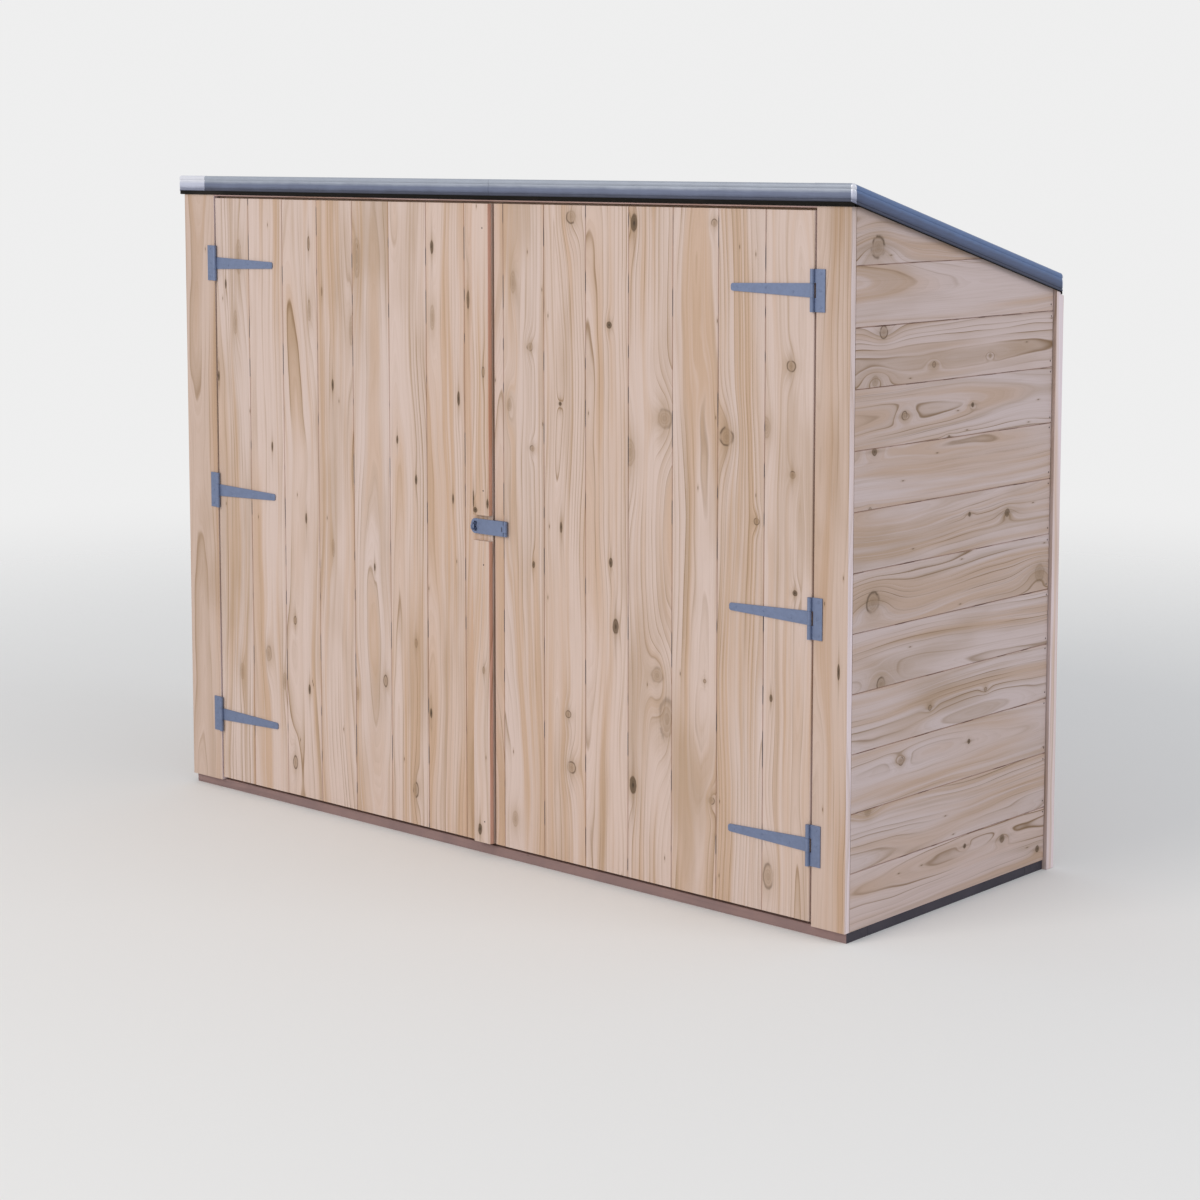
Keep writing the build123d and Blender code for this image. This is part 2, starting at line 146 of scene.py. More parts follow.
RIVET_PROFILE = [(1.0, -0.2), (0.96, 0.5), (0.80, 1.0), (0.55, 1.0), (0.42, 0.1)]
RIVET_FROM_END = 0.0135
RIVET_DROP = 0.001
HINGE_SHEET = 0.0025
PLATE_SCREWS = ((0.10, 0.0095), (0.50, 0.0110), (0.89, 0.0088))
STRAP_SCREWS = ((0.25, -0.004), (0.58, 0.0015), (0.92, 0.0))
FITTING_EASE = 0.0005

# Meshes: how near corners are joined, and the angles in degrees up to which faces are smoothed into one
WELD = 1e-5
TRIM_SMOOTH = 35
SHEET_SMOOTH = 40
FITTING_SMOOTH = 50
CORNER_SMOOTH = 60


def linear(red, green, blue):
    """A colour given as it looks on a screen, 0 to 255, as linear light."""
    shares = [value / 255 for value in (red, green, blue)]
    return tuple(((share + 0.055) / 1.055) ** 2.4 for share in shares)


# Colours of the softwood: earlywood, the wider bands, the soft side of a ring and its crisp edge, then the
# joints' reddish colour and their darkest, both partly painted shade in the grooves and partly dirt
PALETTE = {
    "Pale": linear(219, 202, 199),
    "Beige": linear(206, 179, 161),
    "Shadow": linear(171, 144, 116),
    "Line": linear(137, 109, 78),
    "Grime": linear(168, 128, 110),
    "Soil": linear(62, 60, 72),
}
WARMTH = (1.02, 0.985, 0.945)
DASH = (0.115, 0.070, 0.038)
KNOT_HEART = (0.215, 0.145, 0.085)
KNOT_RIM = (0.125, 0.080, 0.045)
DEAD_KNOT = (0.045, 0.028, 0.016)
# Brown for the darkest painted shade and dirt in the joints of the walls' boards
BROWN_DEEP_GROOVE_SHADE_AND_DIRT = linear(110, 76, 64)

X = Vector((1, 0, 0))
Y = Vector((0, 1, 0))
Z = Vector((0, 0, 1))

front_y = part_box("left_corner_board")[0].y
side_low, side_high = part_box("right_side_cladding")
back_low, back_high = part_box("back_cladding")
slope = (side_high.z - back_high.z) / (back_low.y - side_low.y)
slope_angle = math.atan(slope)
DOWNHILL = Vector((0, math.cos(slope_angle), -math.sin(slope_angle)))
ROOF_NORMAL = Vector((0, math.sin(slope_angle), math.cos(slope_angle)))
trim_front_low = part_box("roof_trim_front")[0]
trim_side_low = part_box("roof_trim_right")[0]
trim_rear_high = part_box("roof_trim_rear")[1]
deck_low, deck_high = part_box("roof_deck")
roof_reach = trim_rear_high.x
roof_front_y = trim_front_low.y
roof_back_y = trim_rear_high.y


def roof_drop(y):
    """How far the roof has come down at this depth."""
    return (y - roof_front_y) * slope


# The roof's top plane at its front edge, worked out from the highest line of the deck, whose front edge is
# bevelled. The rubber and the trim lie on the deck.
DECK_EDGE_BEVEL = 0.004
ROOF_LAYERS = 2 * TRIM_WALL
roof_top_z = deck_high.z + ROOF_LAYERS + roof_drop(deck_low.y + DECK_EDGE_BEVEL)
front_trim_height = roof_top_z - trim_front_low.z - TRIM_WALL * slope
side_trim_height = roof_top_z - roof_drop(roof_back_y) - trim_side_low.z


# Shader graphs
def operator(operation, turned=False):
    """A method that writes a math node as arithmetic between a wire and a wire or number."""
    def write(self, other):
        values = (other, self) if turned else (self, other)
        return self.graph.math(operation, *values)
    return write


class Wire:
    """A socket of a node tree that arithmetic can be written with."""

    def __init__(self, graph, socket):
        self.graph = graph
        self.socket = socket

    __add__ = operator("ADD")
    __radd__ = operator("ADD", turned=True)
    __sub__ = operator("SUBTRACT")
    __mul__ = operator("MULTIPLY")
    __rmul__ = operator("MULTIPLY", turned=True)
    __truediv__ = operator("DIVIDE")
    __pow__ = operator("POWER")


class Graph:
    """Short calls that add nodes to a tree and give back their outputs as wires."""

    def __init__(self, tree):
        self.tree = tree

    def put(self, socket, value):
        """Gives a socket a wire, a number, a colour, or a vector with wires in it."""
        if isinstance(value, Wire):
            self.tree.links.new(value.socket, socket)
        elif isinstance(value, tuple) and any(isinstance(part, Wire) for part in value):
            self.put(socket, self.wire("ShaderNodeCombineXYZ", value))
        else:
            socket.default_value = (*value, 1) if socket.type == "RGBA" else value

    def node(self, kind, inputs=(), **settings):
        """Adds a node. Its inputs are given in turn, or by their names or numbers."""
        made = self.tree.nodes.new(kind)
        for key, value in settings.items():
            setattr(made, key, value)
        for name, value in inputs.items() if isinstance(inputs, dict) else enumerate(inputs):
            self.put(made.inputs[name], value)
        return made

    def wire(self, kind, inputs=(), output=0, **settings):
        return Wire(self, self.node(kind, inputs, **settings).outputs[output])

    def math(self, operation, *values):
        return self.wire("ShaderNodeMath", values, operation=operation)

    def attribute(self, name, output="Vector"):
        return self.wire("ShaderNodeAttribute", output=output, attribute_name=name)

    def place(self):
        return self.wire("ShaderNodeTexCoord", output="Object")

    def split(self, vector):
        made = self.node("ShaderNodeSeparateXYZ", [vector])
        return [Wire(self, output) for output in made.outputs]

    def noise(self, vector, scale=1.0, detail=2.0, roughness=0.5):
        inputs = {"Vector": vector, "Scale": scale, "Detail": detail, "Roughness": roughness}
        return self.wire("ShaderNodeTexNoise", inputs)

    def noise_along(self, value):
        inputs = {"W": value, "Scale": 1.0, "Detail": 1.0}
        return self.wire("ShaderNodeTexNoise", inputs, noise_dimensions="1D")

    def random(self, value):
        return self.wire("ShaderNodeTexWhiteNoise", {"W": value}, noise_dimensions="1D")

    def fade(self, value, start, end, low=0.0, high=1.0):
        """Runs smoothly from low, where the value is at start, to high, where it is at end."""
        values = (value, start, end, low, high)
        return self.wire("ShaderNodeMapRange", values, interpolation_type="SMOOTHSTEP")

    def mix(self, factor, first, second, blend="MIX"):
        inputs = {0: factor, 6: first, 7: second}
        return self.wire("ShaderNodeMix", inputs, output=2, data_type="RGBA", blend_type=blend)

    def layers(self, colour, *coats):
        """The colour under coats of other colours, each as (how much of it, its colour)."""
        for factor, coat in coats:
            colour = self.mix(factor, colour, coat)
        return colour

    def shaded(self, colour, value):
        """The colour made darker or lighter by a value near one."""
        return self.mix(1.0, colour, (value, value, value), "MULTIPLY")


# Softwood
def knot_fields(g, across, along):
    """What the board's knots do here: the nearest one's distance in its own radii and its darkness, how far
    all of them push the rings apart, and the dark streaks that leave them along the grain."""
    nearest = 100.0
    darkness = 0.0
    swell = 0.0
    streak = 0.0
    for number in range(KNOTS_PER_BOARD):
        knot = g.node("ShaderNodeAttribute", attribute_name=f"knot_{number}")
        knot_across, knot_along, radius = g.split(Wire(g, knot.outputs["Vector"]))
        code = Wire(g, knot.outputs["Alpha"])
        radius = g.math("MAXIMUM", radius, 1e-6)
        side = (across - knot_across) / radius
        rise = (along - knot_along) / (radius * g.math("MAXIMUM", g.math("FLOOR", code), 1))
        own_darkness = g.math("FRACT", code)
        side = side * side
        rise = rise * rise
        distance = g.math("SQRT", side + rise)
        swell = radius * g.math("EXPONENT", side * -0.30 - rise * 0.07) + swell
        streak = own_darkness * g.math("EXPONENT", side * -4.0 - rise * 0.06) + streak
        closer = g.math("LESS_THAN", distance, nearest)
        darkness = closer * (own_darkness - darkness) + darkness
        nearest = g.math("MINIMUM", distance, nearest)
    return nearest, darkness, swell, streak


def growth_rings(g, across, depth, along, seed, swell):
    """The distance from the wandering pith and its ripple, then each ring's soft inner side and its outer
    edge, which is crisp in places."""
    across_wander, depth_wander = PITH_WANDER
    pith_across = across + (g.noise_along(along * 1.2 + seed * 91) - 0.5) * across_wander
    pith_depth = depth + (g.noise_along(along * 0.9 + seed * 47) - 0.5) * depth_wander
    radius = g.math("SQRT", pith_across * pith_across + pith_depth * pith_depth)
    ripple = g.noise((across * 9, depth * 9 + seed * 13, along * 1.4), 1.6)
    wiggle = g.noise((across * 26, depth * 26 + seed * 19, along * 7))
    radius = radius + along * 0.004 + swell * 1.6 + (ripple - 0.5) * 0.022 + (wiggle - 0.5) * 0.0026
    turns = radius / RING + g.noise_along(radius * 40 + seed * 31)
    part = g.math("FRACT", turns)
    ring = g.math("FLOOR", turns) + seed * 17
    strength = g.random(ring)
    crisp = g.fade(part, 0.90, 1.0, 1.0, 0.0)
    life = g.fade(g.noise((across * 10, seed * 3, along * 2.2)), 0.38, 0.62, 0.20, 1.0)
    soft_side = part ** (g.random(ring + 0.5) * 3.0 + 0.8) * crisp * (strength * 0.75 + 0.25) * life
    edge = g.fade(part, 0.76, 0.93) * crisp * strength * life * life
    return radius, ripple, soft_side, edge


def softwood_group():
    """Sawn softwood: rings about the pith of each board's own log, fibres along it, and its knots."""
    tree = bpy.data.node_groups.new("softwood", "ShaderNodeTree")
    sockets = {
        "INPUT": {**dict.fromkeys(PALETTE, "Color"), "Crispness": "Float", "Softness": "Float"},
        "OUTPUT": {"Color": "Color", "Roughness": "Float", "Height": "Float"},
    }
    for direction, kinds in sockets.items():
        for name, kind in kinds.items():
            tree.interface.new_socket(name=name, in_out=direction, socket_type=f"NodeSocket{kind}")
    g = Graph(tree)
    given = g.node("NodeGroupInput")
    wires = [Wire(g, given.outputs[name]) for name in sockets["INPUT"]]
    pale, beige, shadow, line, reddish, soil, crispness, softness = wires
    across, depth, along = g.split(g.attribute("grain"))
    seed, shade, warmth = g.split(g.attribute("tone"))
    joint = g.attribute("joint", "Fac")
    nearest, darkness, swell, streak = knot_fields(g, across, along)
    radius, ripple, soft_side, edge = growth_rings(g, across, depth, along, seed, swell)

    # Wide bands, soft stripes, fibres and small dark dashes
    fine = g.math("FRACT", radius / FINE_RING + ripple)
    band = g.noise((radius * 22, seed * 23, along * 0.6), 1.5) + (shade - 0.5) * 0.10
    stripe = g.noise((radius * 70, seed * 37, along * 0.9), detail=3.0, roughness=0.6)
    gleam = g.noise((radius * 210, seed * 53, along * 0.8))
    patch = g.noise((across * 7, seed * 29, along * 1.7), detail=3.0)
    fibre = g.noise((across * 420, depth * 420, along * 5 + seed * 7), detail=3.0, roughness=0.6)
    colour = g.layers(
        beige,
        (g.fade(band, 0.36, 0.58), pale),
        (g.fade(stripe, 0.52, 0.74) * 0.50, shadow),
        (g.fade(stripe, 0.32, 0.48, 1.0, 0.0) * 0.70, pale),
        (g.fade(patch, 0.52, 0.76) * 0.50, shadow),
        (soft_side * softness, shadow),
        (fine * fine * 0.12, shadow),
        (edge * crispness, line),
        (g.fade(gleam, 0.54, 0.74) * 0.60, pale),
        (g.fade(fibre, 0.50, 0.80) * 0.16, line),
    )
    colour = g.mix(warmth, colour, g.mix(1.0, colour, WARMTH, "MULTIPLY"))
    cells_place = (across * 22 + seed * 40, along * 6, 0.0)
    cells = g.node("ShaderNodeTexVoronoi", {"Vector": cells_place, "Scale": 1.0}, voronoi_dimensions="2D")
    chosen = g.math("GREATER_THAN", g.split(Wire(g, cells.outputs["Color"]))[0], 0.87)
    from_dash = Wire(g, cells.outputs["Distance"])
    colour = g.layers(
        colour,
        (g.fade(from_dash, 0.02, 0.09, 1.0, 0.0) * chosen * 0.35, shadow),
        (g.fade(from_dash, 0.012, 0.034, 1.0, 0.0) * chosen * 0.75, DASH),
    )

    # Knots
    wobble = g.noise((across * 60, along * 60, seed * 9))
    distance = nearest + (wobble - 0.5) * 0.34
    core = g.fade(distance, 0.80, 1.02, 1.0, 0.0)
    rim_distance = (distance - 0.95) / 0.13
    worn = g.fade(g.noise((across * 45, along * 30, seed * 5), detail=1.0), 0.40, 0.54, 0.10, 1.0)
    rim = g.math("EXPONENT", rim_distance * rim_distance * -1) * worn * g.fade(darkness, 0.03, 0.22)
    halo = g.math("EXPONENT", distance * distance * -0.35)
    growth = g.math("FRACT", distance * 3.4)
    heart = g.fade(distance, 0.0, 0.55, 1.0, 0.0)
    dead = g.fade(darkness, 0.60, 0.95)
    firm = g.fade(darkness, 0.50, 0.88, 0.46, 1.0)
    colour = g.layers(
        colour,
        (halo * 0.45, shadow),
        (g.math("MINIMUM", streak, 1) * 0.50, line),
        (core * (growth * 0.50 + 0.30) * firm, line),
        (core * heart * 0.40 * firm, KNOT_HEART),
        (core * dead * (heart * 0.35 + 0.60), DEAD_KNOT),
        (rim * 0.85, KNOT_RIM),
    )

    # The sides of the joints between boards: reddish, and darker in places; partly a painted shade in the
    # grooves, partly dirt
    # Where the joints' painted shade and dirt turn darkest
    deep_shade_and_dirt_mask = g.fade(g.noise_along(along * 11 + seed * 77), 0.53, 0.63)
    # The joints' colour: painted groove shade and dirt
    grime = g.mix(deep_shade_and_dirt_mask, reddish, soil)
    # The joints get their painted shade and dirt over the wood's colour
    g.node("NodeGroupOutput", {
        "Color": g.mix(joint * (deep_shade_and_dirt_mask * 0.35 + 0.45), colour, grime),
        "Roughness": fibre * 0.16 - edge * 0.08 + 0.60,
        "Height": fibre * 0.35 + edge * 0.25 - rim * 1.2 - core * dead * heart * 2.0,
    })
    return tree


SOFTWOOD = softwood_group()


# Materials
def tinted(colour, tint):
    return tuple(channel * factor for channel, factor in zip(colour, tint))


class Surface(Graph):
    """The graph of a new material with a principled shader."""

    def __init__(self, name, colour, roughness, metallic=0.0, specular=0.5):
        self.material = bpy.data.materials.new(name)
        self.material.use_nodes = True
        self.material.diffuse_color = (*colour, 1)
        super().__init__(self.material.node_tree)
        self.shader = next(node for node in self.tree.nodes if node.type == "BSDF_PRINCIPLED")
        self.give(colour, roughness, {"Metallic": metallic, "Specular IOR Level": specular})

    def give(self, colour, roughness, others):
        for name, value in {"Base Color": colour, "Roughness": roughness, **others}.items():
            self.put(self.shader.inputs[name], value)

    def feed(self, colour, roughness, height, strength, distance=0.0003):
        """Gives the shader its colour, its roughness and the relief of its surface."""
        relief = self.wire("ShaderNodeBump", {"Strength": strength, "Distance": distance, "Height": height})
        self.give(colour, roughness, {"Normal": relief})
        return self.material


def softwood(g, colours, crispness, softness):
    """The softwood's colour, roughness and height in these colours, for the palette's names in turn."""
    inputs = {**dict(zip(PALETTE, colours)), "Crispness": crispness, "Softness": softness}
    group = g.node("ShaderNodeGroup", inputs, node_tree=SOFTWOOD)
    return [Wire(g, output) for output in group.outputs]


def wood_material(name, tint, relief=0.35, soil=PALETTE["Soil"], crispness=0.55, softness=0.84):
    """Planed softwood, with the palette's colours multiplied by the tint, the colour of the darkest painted
    shade and dirt in its joints, and how strong the thin edges and the soft sides of its rings are."""
    g = Surface(name, tinted(PALETTE["Beige"], tint), 0.65, specular=0.32)
    colours = [soil if given == "Soil" else tinted(colour, tint) for given, colour in PALETTE.items()]
    colour, roughness, height = softwood(g, colours, crispness, softness)
    return g.feed(colour, roughness, height, relief, 0.0006)


def base_material(name, pale, dark):
    """Rough sawn softwood, dark from its impregnation. The base has a lit copy for its front and a darker
    copy that is a painted shade.
    """
    g = Surface(name, dark, 0.8)
    colour, _, height = softwood(g, (pale, pale, dark, dark, dark, dark), 0.55, 0.84)
    stain = g.noise(g.place(), 9.0, 4.0, 0.6)
    saw = g.noise(g.place(), 260.0)
    colour = g.mix(g.fade(stain, 0.35, 0.7) * 0.55, colour, dark)
    return g.feed(colour, 0.72 + stain * 0.15, saw + height * 0.6, 0.45, 0.0008)


def streaks_along(g, axis, coarse, fine):
    """Fine streaks that run along a piece."""
    parts = zip(g.split(g.place()), axis)
    stretched = tuple(part * (coarse if abs(share) > 0.5 else fine) for part, share in parts)
    return g.noise(stretched, detail=3.0, roughness=0.6)


def nail_material():
    """Dull steel with fine streaks and a faint mottle."""
    colour = (0.070, 0.055, 0.050)
    g = Surface("nail_steel", colour, 0.55, 0.6)
    streaks = streaks_along(g, X, 40, 900)
    cloud = g.noise(g.place(), 28.0, 4.0, 0.6)
    grime = g.noise(g.place(), 7.0, 3.0, 0.55)
    value = 1.0 + (streaks - 0.5) * 0.12 + (cloud - 0.5) * 0.10 + (grime - 0.5) * 0.10
    roughness = 0.55 + (cloud - 0.5) * 0.22 + (streaks - 0.5) * 0.10
    return g.feed(g.shaded(colour, value), roughness, streaks + cloud * 0.6, 0.10)


def trim_material(name, along, top, face, foot, streak=0.22):
    """Satin aluminium with a painted highlight on its nose, a darker face, and painted shade that is darkest
    along its foot.
    """
    g = Surface(name, face, 0.42, 0.30)
    _, y, z = g.split(g.place())
    rise = z - roof_top_z + (y - roof_front_y) * slope
    streaks = streaks_along(g, along, 30, 700)
    cloud = g.noise(g.place(), 22.0, 4.0, 0.6)
    level = rise + (cloud - 0.5) * 0.004 + (streaks - 0.5) * 0.003
    # Painted highlight towards the nose and painted shade towards the foot, by height
    colour = g.layers(
        face, (g.fade(level, *TRIM_HIGHLIGHT_FADE), top), (g.fade(level, *TRIM_FOOT_SHADE_FADE, 1.0, 0.0), foot),
    )
    value = (streaks - 0.5) * streak + (cloud - 0.5) * 0.20 + 1.0
    roughness = (cloud - 0.5) * 0.22 + (streaks - 0.5) * 0.12 + 0.42
    return g.feed(g.shaded(colour, value), roughness, streaks + cloud * 0.6, 0.10)


def galvanised_material():
    """Blue-grey galvanised sheet with the faint crystals of its zinc."""
    colour = (0.180, 0.225, 0.355)
    g = Surface("galvanised_fittings", colour, 0.46, 0.45)
    crystals = g.node("ShaderNodeTexVoronoi", {"Vector": g.place(), "Scale": 190}, feature="F1")
    facet = g.split(Wire(g, crystals.outputs["Color"]))[0]
    cloud = g.noise(g.place(), 60.0, 4.0, 0.65)
    worn = g.noise(g.place(), 320.0, 3.0, 0.6)
    value = 0.90 + facet * 0.10 + (cloud - 0.5) * 0.26 + (worn - 0.5) * 0.14
    roughness = 0.40 + facet * 0.10 + cloud * 0.14
    return g.feed(g.shaded(colour, value), roughness, cloud + worn * 0.5, 0.16)


def membrane_material():
    """Matt black rubber sheet with patches of dust and fine grit."""
    g = Surface("roof_rubber", (0.008, 0.006, 0.005), 0.66, specular=0.12)
    dust = g.noise(g.place(), 3.2, 5.0, 0.62)
    grit = g.noise(g.place(), 420.0, 2.0, 0.6)
    colour = g.layers(
        (0.006, 0.005, 0.004),
        (g.fade(dust, 0.48, 0.80), (0.022, 0.019, 0.017)),
        (g.fade(grit, 0.5, 0.8) * 0.20, (0.050, 0.046, 0.043)),
    )
    return g.feed(colour, 0.58 + dust * 0.22, grit, 0.22, 0.0004)


FRONT_WOOD = wood_material("front_softwood", (0.945, 0.92, 0.87), crispness=0.80)
POST_WOOD = wood_material("post_softwood", (0.86, 0.81, 0.73), crispness=0.45, softness=0.70)
# The walls and rear posts: a cooler, darker tint of the front's wood as painted shade; their crisper rings
# are the wood's own
SIDE_SHADED_WOOD = wood_material(
    "side_softwood_painted_shade", (0.895, 0.895, 0.915), soil=BROWN_DEEP_GROOVE_SHADE_AND_DIRT, crispness=1.2, softness=0.62,
)
# The sideways faces of the corner boards and rear posts: lighter and bluer, a painted highlight
EDGE_HIGHLIGHT_WOOD = wood_material("edge_softwood", (1.20, 1.27, 1.42), soil=BROWN_DEEP_GROOVE_SHADE_AND_DIRT)
# The cover strip's sides: reddish and darker, a painted shade
STRIP_EDGE_SHADED_WOOD = wood_material("strip_edge_softwood_painted_shade", (1.05, 0.78, 0.66))
# The door header under the roof's overhang: reddish and darker, a painted shade
HEADER_SHADED_WOOD = wood_material("header_softwood_painted_shade", (0.78, 0.66, 0.66))
FRAME_WOOD = wood_material("frame_softwood", (0.95, 0.93, 0.86), relief=0.5)
# The base: a lit copy for the front bearer's face, and a dark violet copy as painted shade for its ends and
# the bearers behind
BASE_FRONT = base_material("base_front_wood", (0.290, 0.195, 0.190), (0.205, 0.140, 0.140))
BASE_SHADED = base_material("base_side_wood", (0.060, 0.052, 0.070), (0.034, 0.032, 0.046))
TRIM_FRONT = trim_material(
    "trim_aluminium", X, (0.350, 0.385, 0.455), (0.140, 0.165, 0.250), (0.045, 0.050, 0.080), 0.30,
)
# The side trims: a darker, bluer copy of the front trim's colours, as painted shade
TRIM_SIDE_SHADED = trim_material(
    "trim_aluminium_side_painted_shade", DOWNHILL,
    (0.110, 0.175, 0.340), (0.070, 0.098, 0.190), (0.030, 0.038, 0.078), 0.55,
)
# Pale trim for the left end pieces, and for the rounded corner pieces, where the pale is a painted highlight
# on the crease
TRIM_PALE_AND_HIGHLIGHT = trim_material(
    "trim_end_aluminium_and_highlight", X, (0.700, 0.715, 0.790), (0.520, 0.545, 0.670), (0.200, 0.215, 0.300),
)
GALVANISED = galvanised_material()
RUBBER = membrane_material()
NAIL_STEEL = nail_material()


# Making meshes
def placed(name, data):
    """A new object in the scene."""
    made = bpy.data.objects.new(name, data)
    bpy.context.scene.collection.objects.link(made)
    return made


def mesh_object(name, mesh, material):
    data = bpy.data.meshes.new(name)
    mesh.to_mesh(data)
    mesh.free()
    data.materials.append(material)
    return placed(name, data)


def face_outwards(mesh):
    bmesh.ops.recalc_face_normals(mesh, faces=mesh.faces)


def finish_mesh(name, mesh, material, body, node=None, smooth_angle=None):
    """Turns a bmesh into a piece that rides on a body and may stand for a node of the frame."""
    face_outwards(mesh)
    piece = mesh_object(name, mesh, material)
    if smooth_angle is not None:
        piece.data.shade_smooth()
        piece.data.set_sharp_from_angle(angle=math.radians(smooth_angle))
    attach(piece, body)
    if node:
        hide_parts(node)
    return piece


def bare_mesh(node):
    """A copy of a node's own mesh, with its corners joined and its flat faces whole."""
    mesh = bmesh.new()
    mesh.from_mesh(frame["nodes"][node].data)
    bmesh.ops.remove_doubles(mesh, verts=mesh.verts, dist=WELD)
    bmesh.ops.dissolve_limit(mesh, angle_limit=math.radians(1), verts=mesh.verts, edges=mesh.edges)
    return mesh


def bisect(mesh, point, normal, clear_outer=False):
    geometry = mesh.verts[:] + mesh.edges[:] + mesh.faces[:]
    return bmesh.ops.bisect_plane(
        mesh, geom=geometry, plane_co=point, plane_no=normal, clear_outer=clear_outer,
    )


def cut(mesh, point, normal):
    """Takes away what lies beyond the plane, on the side that its normal points to, and closes the cut."""
    made = bisect(mesh, point, normal, clear_outer=True)
    edges = [part for part in made["geom_cut"] if isinstance(part, bmesh.types.BMEdge)]
    if edges:
        bmesh.ops.contextual_create(mesh, geom=edges)


def islands(mesh):
    """The groups of vertices that hang together."""
    left = set(mesh.verts)
    groups = []
    for first in mesh.verts:
        if first not in left:
            continue
        left.discard(first)
        group = [first]
        for vertex in group:
            for edge in vertex.link_edges:
                other = edge.other_vert(vertex)
                if other in left:
                    left.discard(other)
                    group.append(other)
        groups.append(group)
    return groups


def gather(target, faces):
    """Copies faces and their vertices into another mesh."""
    twin = {}
    for face in faces:
        for vertex in face.verts:
            if vertex not in twin:
                twin[vertex] = target.verts.new(vertex.co)
        target.faces.new([twin[vertex] for vertex in face.verts])


def bridge(mesh, rings):
    """Joins rings of vertices by faces and closes both ends. The last ring may be one vertex, and otherwise
    the face that closes it is given back."""
    for near, far in zip(rings[:-1], rings[1:]):
        for i in range(len(near)):
            j = (i + 1) % len(near)
            mesh.faces.new([near[i], near[j]] + ([far[j], far[i]] if len(far) > 1 else far))
    mesh.faces.new(rings[0][::-1])
    return mesh.faces.new(rings[-1]) if len(rings[-1]) > 1 else None


def head(mesh, profile, count, spot):
    """A fastener's head. spot gives a vertex's place from its share of the radius, its turn and its rise."""
    rings = []
    for share, rise in profile:
        turns = [2 * math.pi * n / count for n in range(count)] if share else [0.0]
        rings.append([mesh.verts.new(spot(share, turn, rise)) for turn in turns])
    return bridge(mesh, rings)


# Boards and timbers
class Timber:
    """Boards gathered into one mesh. Each carries its grain, tone and knots for the wood's shader."""

    def __init__(self, name, shaded_dirty_joints):
        self.name = name
        self.shaded_dirty_joints = shaded_dirty_joints
        self.random = random.Random(name)
        self.mesh = bmesh.new()
        layers = self.mesh.verts.layers
        self.grain = layers.float_vector.new("grain")
        self.tone = layers.float_vector.new("tone")
        self.knots = [layers.float_color.new(f"knot_{number}") for number in range(KNOTS_PER_BOARD)]
        self.joint = self.mesh.faces.layers.float.new("joint")

    def new_log(self, width):
        """Where the board's corner lies, seen from the pith of its log, and its tone."""
        draw = self.random.uniform
        pith = Vector((draw(-0.075, 0.075) - width / 2, draw(0.012, 0.055), draw(0, 40)))
        return pith, Vector((draw(0, 1), draw(0, 1), draw(0, 1)))

    def add(self, part, origin, axes, width, knots=(), outer_edges=()):
        """Adds a board. Its knots are (across, along, radius, code) from its origin. The edges of the run
        that it lies in are given by their normals, and they are no joints."""
        across, inward, along = axes
        pith, tone = self.new_log(width)
        held = [
            (pith.x + u, pith.z + w, radius, code)
            for u, w, radius, code in sorted(knots, key=lambda knot: -knot[2])[:KNOTS_PER_BOARD]
        ]
        held += [(0, 0, 0, 1)] * (KNOTS_PER_BOARD - len(held))
        twin = {}
        for vertex in part.verts:
            new = self.mesh.verts.new(vertex.co)
            local = vertex.co - origin
            new[self.grain] = Vector((local.dot(across), local.dot(inward), local.dot(along))) + pith
            new[self.tone] = tone
            for layer, knot in zip(self.knots, held):
                new[layer] = knot
            twin[vertex] = new
        for face in part.faces:
            new_face = self.mesh.faces.new([twin[vertex] for vertex in face.verts])
            is_outer = any(face.normal.dot(normal) > 0.3 for normal in outer_edges)
            new_face[self.joint] = 0.0 if is_outer else self.joint_shade_and_dirt(face.normal, across, along)

    # How much painted groove shade and dirt a face takes: full on the sides of boards in joints, a little on
    # their ends
    def joint_shade_and_dirt(self, normal, across, along):
        if abs(normal.dot(along)) > 0.7:
            return 0.12
        return 1.0 if self.shaded_dirty_joints and abs(normal.dot(across)) > 0.3 else 0.0

    def finish(self, material, body, node):
        return finish_mesh(self.name, self.mesh, material, body, node)


def tongue_and_groove(width, thickness, groove, tongue):
    """A board's section as (across, inward) points: a groove on its near edge, a tongue on its far one."""
    middle = thickness / 2
    half = TONGUE_THICKNESS / 2
    bevel = JOINT_BEVEL
    points = [(bevel, 0), (0, bevel)]
    if groove:
        deep = TONGUE + 2 * TONGUE_PLAY
        wide = half + TONGUE_PLAY
        points += [(0, middle - wide), (deep, middle - wide), (deep, middle + wide), (0, middle + wide)]
    points += [(0, thickness - bevel), (bevel, thickness)]
    points += [(width - bevel, thickness), (width, thickness - bevel)]
    if tongue:
        upper, lower, reach = middle + half, middle - half, width + TONGUE
        points += [(width, upper), (reach, upper), (reach, lower), (width, lower)]
    points += [(width, bevel), (width - bevel, 0)]
    return points


def loft(section, origin, axes, start, end, wander=0.0, rng=None):
    """A prism over the section from start to end along the board, which may bend a little on its way."""
    across, inward, along = axes
    part = bmesh.new()
    count = max(1, round((end - start) / STATION)) if wander else 1
    rings = []
    for step in range(count + 1):
        drift = rng.uniform(-wander, wander) if wander else 0.0
        place = origin + along * (start + (end - start) * step / count) + across * drift
        rings.append([part.verts.new(place + across * u + inward * v) for u, v in section])
    bridge(part, rings)
    face_outwards(part)
    return part


def block(node, axes):
    """The corner of a node's box that its boards start from, and its size along their three axes."""
    low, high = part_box(node)
    ahead = sum(axes, Vector())
    corner = Vector([low[i] if ahead[i] > 0 else high[i] for i in range(3)])
    return (corner, *[abs((high - low).dot(axis)) for axis in axes])


